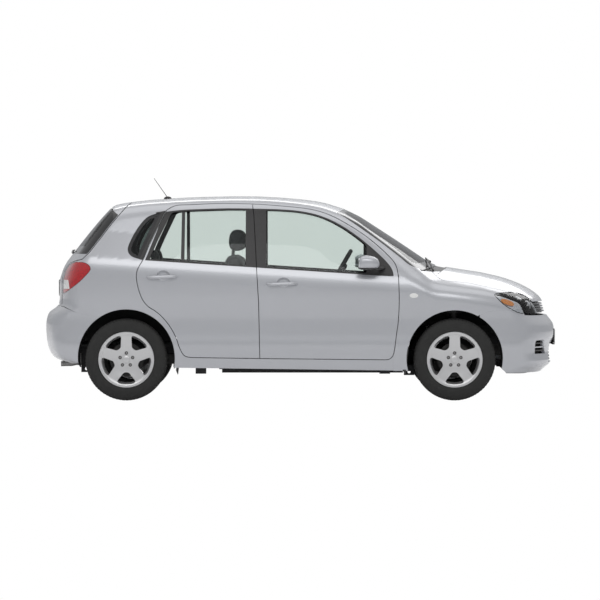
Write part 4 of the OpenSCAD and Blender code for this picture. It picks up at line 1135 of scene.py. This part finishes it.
for k in range(5):
    a = math.radians(90 + 72 * k)
    six = [(50 * math.cos(a) + 8.5 * math.cos(t), 50 * math.sin(a) + 8.5 * math.sin(t))
           for t in np.linspace(0, 2 * math.pi, 7)[:-1]]
    nuts.append(star(six, 30, 55))
cap = lathe([(1, 30), (31, 30), (31, 63), (28, 66), (18, 68.5), (1, 69)], 64)
disc = lathe([(40, -10), (128, -10), (128, 4), (72, 4), (70, 24), (40, 24)], 96)
for tool_mesh in (cap, disc):
    if volume_sign(tool_mesh) < 0:
        tool_mesh.flip_normals()


def to_hub(mesh, x, sign):
    mesh = mesh.copy()
    mesh.transform(Matrix.Translation((x, sign * HUB_Y, HUB_Z))
                   @ Matrix.Rotation(math.radians(-90 * sign), 4, "X")
                   @ Matrix.Rotation(math.pi if sign > 0 else 0, 4, "Z"))
    return mesh


def smooth_by_angle(mesh, degrees=40):
    mesh.polygons.foreach_set("use_smooth", np.ones(len(mesh.polygons), bool))
    mesh.set_sharp_from_angle(angle=math.radians(degrees))
    return mesh


for end, x in (("front", FRONT_X), ("rear", REAR_X)):
    for side, sign in (("left", 1), ("right", -1)):
        body, tag = "%s_%s_wheel" % (end, side), "%s_%s" % (end, side)
        place("tyre_%s_body" % tag, smooth_by_angle(to_hub(tyre_mesh, x, sign), 30), body, "tyre", [RUBBER],
              ["tyre_%s" % tag])
        alloy = join_meshes("alloy", [to_hub(barrel, x, sign), to_hub(face, x, sign)])
        place("alloy_%s" % tag, smooth_by_angle(alloy, 32), body, "alloy", [ALLOY], ["rim_%s" % tag])
        small = join_meshes("nuts", [to_hub(m, x, sign) for m in nuts])
        place("wheel_nuts_%s" % tag, small, body, "alloy", [STEEL])
        place("wheel_cap_%s" % tag, smooth_by_angle(to_hub(cap, x, sign)), body, "alloy", [ALLOY])
        place("brake_disc_%s" % tag, smooth_by_angle(to_hub(disc, x, sign)), body, "alloy", [CAST])
print("wheels placed; tyre faces", len(tyre_mesh.polygons))

# %% [markdown]
# ## Mirrors, wipers and small fittings
# The mirror is a rounded shell on a black foot, with the glass set in its rear face. The wipers are
# a thin blade held by a tapering arm.


# %% Mirrors and fittings
def tube(path, radii, turns=12, flat=1.0):
    """A tapered round bar along a path."""
    verts, faces = [], []
    path = [np.array(p, float) for p in path]
    for i, p in enumerate(path):
        way = path[min(i + 1, len(path) - 1)] - path[max(i - 1, 0)]
        way /= np.linalg.norm(way)
        side = np.cross(way, (0, 0, 1.0))
        side /= max(np.linalg.norm(side), 1e-6)
        up = np.cross(side, way)
        for j in range(turns):
            a = 2 * math.pi * j / turns
            verts.append(p + radii[i] * (side * math.cos(a) + flat * up * math.sin(a)))
    faces = grid(len(path), turns) + lids(len(path), turns)
    mesh = raw_mesh("tube", verts, faces)
    if volume_sign(mesh) < 0:
        mesh.flip_normals()
    return mesh


housing = pod((510, 918, 1048), np.array([84, 68, 54]), 2.7)
for vertex in housing.vertices:
    lead = (vertex.co.x - 510) / 84
    vertex.co.z += 8 * lead * (vertex.co.z - 1048) / 54 * -1 - 6 * max(lead, 0) ** 2
    vertex.co.x += 10 * (vertex.co.z - 1048) / 54 * (1 if lead < 0 else -0.6)
band = [(300, 1009), (620, 1009), (620, 900), (300, 900)]
upper = carve(housing.copy(), [drop(side_prism(band, 700, 1100)),
                               drop(pod((424, 918, 1048), np.array([18, 56, 40]), 5))])
lower = carve(housing.copy(), [keep(side_prism(band, 700, 1100))])
foot = tube([(560, 890, 1010), (600, 868, 1004), (622, side_point(640, 1004)[1] + 3, 1006)], (19, 20, 22),
            20, 0.62)
glass_face = pod((440, 918, 1048), np.array([4, 54, 38]), 5)
sail_top = carve(layer(-2, 12), [keep(side_prism([(512, 1010), (590, 1104), (700, 1004), (700, 960),
                                                  (512, 960)])),
                                 keep(side_prism(offset(window_band, -10))),
                                 keep(side_prism([(512, 900), (800, 900), (800, 1180), (552, 1180)]))])
for side, sign in (("left", 1), ("right", -1)):
    body = "front_%s_door" % side

    def twin(mesh):
        mesh = mesh.copy() if sign > 0 else mirrored(mesh)
        return smooth_by_angle(mesh, 38)
    place("mirror_housing_%s" % side, twin(upper), body, "body_paint", [PAINT], ["mirror_%s" % side])
    place("mirror_base_%s" % side, twin(join_meshes("base", [lower.copy(), foot.copy()])), body,
          "black_trim", [TRIM])
    place("mirror_face_%s" % side, twin(glass_face), body, "glass", [CHROME])
    place("mirror_sail_%s" % side, twin(sail_top), body, "black_trim", [TRIM])


def on_top(x, y, out):
    return top_point(x, y, -out)


blades = []
for y0 in (60, -500):
    points = [(1010 - i * 2.5 - 70 * abs((y0 + i * 31.25) / 680) ** 2, y0 + i * 31.25) for i in range(17)]
    blades.append(tube([on_top(x, y, 13) for x, y in points], [4] * 17, 8))
    blades.append(tube([on_top(x, y, 8) for x, y in points], [2.5] * 17, 6, 2.0))
    x, y = points[8]
    blades.append(tube([on_top(x + 34, y - 260, 6), on_top(x + 18, y - 150, 15), on_top(x, y, 17)], (8, 6, 4),
                       10))
place("wiper_blades", smooth_by_angle(join_meshes("wipers", blades)), "car_body", "black_trim", [TRIM],
      ["wipers"])
back_blade = [tube([rear_point(-i * 34.5, 1138, -11) for i in range(11)], [4.5] * 11, 8),
              tube([rear_point(0, 1112, 2), rear_point(-4, 1120, -12), rear_point(-150, 1136, -16)],
                   (13, 11, 5), 12)]
place("rear_wiper_blade", smooth_by_angle(join_meshes("rear_wiper", back_blade)), "tail_door", "black_trim",
      [TRIM], ["rear_wiper"])

foot_at = top_point(-1036, 0)
mast = tube([foot_at + np.array([0, 0, 10]), foot_at + np.array([-105, 0, 160])], (2.8, 1.8), 12)
base = ball(foot_at + np.array([2, 0, 2]), np.array([30, 17, 17]), 32, 12)
place("antenna_mast", smooth_by_angle(join_meshes("antenna", [mast, base])), "car_body", "black_trim", [TRIM],
      ["antenna"])


def plate(name, body, middle, size, tilt):
    """A blank registration plate with rounded corners in a dark frame."""
    for tag, grow, back, material in (("frame", 8, 0, TRIM), ("plate", 0, 4, PLATE)):
        w, h = size[0] / 2 + grow, size[1] / 2 + grow
        mesh = prism(curve([(-w, -h + 9), (-w, h - 9), (-w + 9, h), (w - 9, h), (w, h - 9), (w, -h + 9),
                            (w - 9, -h), (-w + 9, -h), (-w, -h + 9)]), "x", -9, 3 + back)
        mesh.transform(Matrix.Translation(middle) @ Matrix.Rotation(math.radians(tilt), 4, "Y"))
        place("%s_%s" % (name, tag), mesh, body, "body_paint", [material])


front_mid = front_point(0, 470)
plate("front_plate", "car_body", (front_mid[0] - 3, 0, 470), (440, 105), 0)
rear_mid = rear_point(0, 850)
slope_rear = rear_point(0, 900)[0] - rear_point(0, 800)[0]
plate("rear_plate", "tail_door", (rear_mid[0] + 2, 0, 850), (440, 105), 180 - math.degrees(math.atan2(
    slope_rear, 100)))
print("fittings placed")

# %% [markdown]
# ## Cabin
# Through the glass one sees the seats, the dashboard, the steering wheel and the roof lining.
# The seats are sewn covers over foam, so they are swollen as cloth with air behind it.


# %% Cabin
def cushion(outline, half, middle, inset=10, cells=18):
    """A seat block: a side outline swept across, drawn in towards its side seams."""
    path = curve(outline, 6)
    path = path[:-1] if np.allclose(path[0], path[-1]) else path
    centre = np.mean(np.array(path), axis=0)
    verts, faces, n = [], [], len(path)
    for j in range(cells + 1):
        t = -1 + 2 * j / cells
        pull = 1 - 0.10 * abs(t) ** 6
        for x, z in path:
            verts.append((centre[0] + (x - centre[0]) * pull, middle + t * (half - inset),
                          centre[1] + (z - centre[1]) * pull))
    faces = grid(cells + 1, n) + lids(cells + 1, n)
    mesh = raw_mesh("cushion", verts, faces)
    if volume_sign(mesh) < 0:
        mesh.flip_normals()
    return mesh


def swell(name, mesh, body, nodes=(), voxel=0.016, cap_move=0.022, twin=True):
    """Inflates a cover over its foam as cloth, then keeps the result as a plain mesh."""
    ob = place(name, mesh, body, "seat_fabric", [FABRIC], nodes)
    bpy.context.view_layer.objects.active = ob
    remesh = ob.modifiers.new("remesh", "REMESH")
    remesh.mode, remesh.voxel_size = "VOXEL", voxel
    with bpy.context.temp_override(object=ob, active_object=ob):
        bpy.ops.object.modifier_apply(modifier="remesh")
    start = np.array([v.co[:] for v in ob.data.vertices])
    cloth = ob.modifiers.new("cloth", "CLOTH")
    cloth.settings.use_pressure = True
    cloth.settings.uniform_pressure_force = 4
    cloth.settings.effector_weights.gravity = 0
    for number in range(1, 13):
        scene.frame_set(number)
    shape = ob.evaluated_get(bpy.context.evaluated_depsgraph_get()).data
    moved = np.array([v.co[:] for v in shape.vertices]) - start
    ob.modifiers.remove(cloth)
    scene.frame_set(1)
    length = np.maximum(np.linalg.norm(moved, axis=1), 1e-9)
    moved *= np.minimum(1, cap_move / length)[:, None]
    ob.data.vertices.foreach_set("co", (start + moved).ravel())
    print(name, "swelled by up to mm", round(float(length.max() / MM), 1))
    ob.data.polygons.foreach_set("use_smooth", np.ones(len(ob.data.polygons), bool))
    finer = ob.modifiers.new("finer", "SUBSURF")
    finer.levels = finer.render_levels = 1
    return ob


base_line = [(-330, 372), (-60, 372), (150, 376), (182, 402), (172, 440), (60, 438), (-220, 412),
             (-340, 420), (-330, 372)]
back_line = [(-352, 430), (-310, 470), (-352, 640), (-420, 900), (-470, 1096), (-520, 1120), (-572, 1090),
             (-545, 900), (-470, 620), (-404, 452), (-352, 430)]
head_line = [(-426, 1156), (-430, 1250), (-458, 1290), (-512, 1294), (-540, 1262), (-544, 1156), (-485, 1134),
             (-426, 1156)]
for side, sign in (("left", 1), ("right", -1)):
    y = 365 * sign
    swell("front_seat_base_%s" % side, cushion(base_line, 245, y), "car_body",
          ["front_seats"] if sign > 0 else ())
    swell("front_seat_back_%s" % side, cushion(back_line, 235, y), "car_body")
    swell("front_headrest_%s" % side, cushion(head_line, 125, y), "car_body", (), 0.012, 0.012)
    posts = [tube([(-530, y + k, 1060), (-520, y + k, 1180)], (6, 6), 12) for k in (-60, 60)]
    rails = [prism([(x, k) for x, k in ((-320, y + c - 18), (100, y + c - 18), (100, y + c + 18),
                                       (-320, y + c + 18))], "z", 258, 366) for c in (-180, 180)]
    place("front_seat_frame_%s" % side, join_meshes("posts", posts + rails), "car_body",
          "seat_fabric", [STEEL])
rear_base = [(-990, 440), (-620, 436), (-566, 458), (-568, 500), (-640, 516), (-900, 524), (-990, 440)]
rear_back = [(-940, 540), (-1050, 965), (-1090, 990), (-1132, 970), (-1096, 700), (-1030, 520), (-940, 540)]
rear_head = [(-1082, 1030), (-1104, 1130), (-1140, 1132), (-1146, 1046), (-1082, 1030)]
swell("rear_seat_base", cushion(rear_base, 530, 0, 10, 36), "car_body", ["rear_seat"])
swell("rear_seat_back", cushion(rear_back, 530, 0, 10, 36), "car_body")
for y in (-330, 330):
    swell("rear_headrest_%s" % ("left" if y > 0 else "right"), cushion(rear_head, 115, y), "car_body", (),
          0.012,
          0.010)
rear_posts = [tube([(-1112, y + k, 950), (-1112, y + k, 1050)], (6, 6), 12) for y in (-330, 330)
              for k in (-50, 50)]
place("rear_seat_posts", join_meshes("posts", rear_posts), "car_body", "seat_fabric", [STEEL])

dash = prism(curve([(566, 770), (604, 650), (640, 624), (900, 624), (976, 664), (976, 880), (900, 926),
                    (700, 958), (610, 950), (580, 900), (566, 770)]), "y", -585, 585)
place("dash_moulding", smooth_by_angle(dash, 35), "car_body", "cabin_plastic", [PLASTIC], ["dashboard"])
tilt = Matrix.Translation((300, -370, 985)) @ Matrix.Rotation(math.radians(120), 4, "Y")
ring = [(170 + 15 * math.cos(t), 15 * math.sin(t)) for t in np.linspace(0, 2 * math.pi, 17)[:-1]]
wheel_parts = [lathe(ring, 96), pod((0, 0, 20), np.array([66, 66, 18]), 3, 40, 20)]
for a in (90, -90, 0):
    arm = tube([(40, 0, 18), (110, 0, 12), (166, 0, 2)], (20, 16, 12), 16, 0.4)
    arm.transform(Matrix.Rotation(math.radians(a), 4, "Z"))
    wheel_parts.append(arm)
wheel_mesh = join_meshes("steering", wheel_parts)
wheel_mesh.transform(tilt)
place("steering_wheel_rim", smooth_by_angle(wheel_mesh), "steering_wheel_body", "cabin_plastic", [PLASTIC],
      ["steering_wheel"])
lining = carve(layer(30, 36), [keep(plan_prism([(-1290, -540), (250, -540), (250, 540), (-1290, 540)])),
                               keep(side_prism([(-1290, 1380), (250, 1380), (250, 1600), (-1290, 1600)], -700,
                                               700))])
panel("roof_lining", lining, 36, "car_body", "body_paint", [GREY_LINING])
print("cabin placed")

# %% [markdown]
# ## Parts that keep their CAD shape
# The floor, rails, firewall, engine and axles keep their first shape and only get a finish; the exhaust is
# made anew.

# %% Finishes for carried-over parts
kept = {"floor_pan": UNDERSEAL, "chassis_rails": UNDERSEAL, "lashing_eyes": UNDERSEAL, "firewall": UNDERSEAL,
        "engine": CAST, "front_suspension": CAST, "rear_axle": CAST, "knuckle_left": CAST,
        "knuckle_right": CAST, "fuel_tank": PLASTIC, "steering_column": PLASTIC}
for name, material in kept.items():
    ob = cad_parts[name]
    for slot_ in ob.material_slots:
        slot_.material = material
silencer = pod((-1690, -250, 320), np.array([70, 190, 68]), 4)
tail_pipe = tube([(-1690, -380, 300), (-1720, -380, 276), (-1760, -380, 268), (-1842, -380, 266)],
                 [20] * 4, 20)
place("exhaust_line", smooth_by_angle(join_meshes("exhaust", [silencer, tail_pipe])), "car_body", "steel",
      [STEEL], ["exhaust"])
ground = bpy.data.objects.new("ground", raw_mesh("ground", [(-150, -150, 0), (150, -150, 0), (150, 150, 0),
                                                          (-150, 150, 0)], [(0, 1, 2, 3)]))
ground.data.materials.append(FLOOR)
scene.collection.objects.link(ground)
ground.visible_camera = False
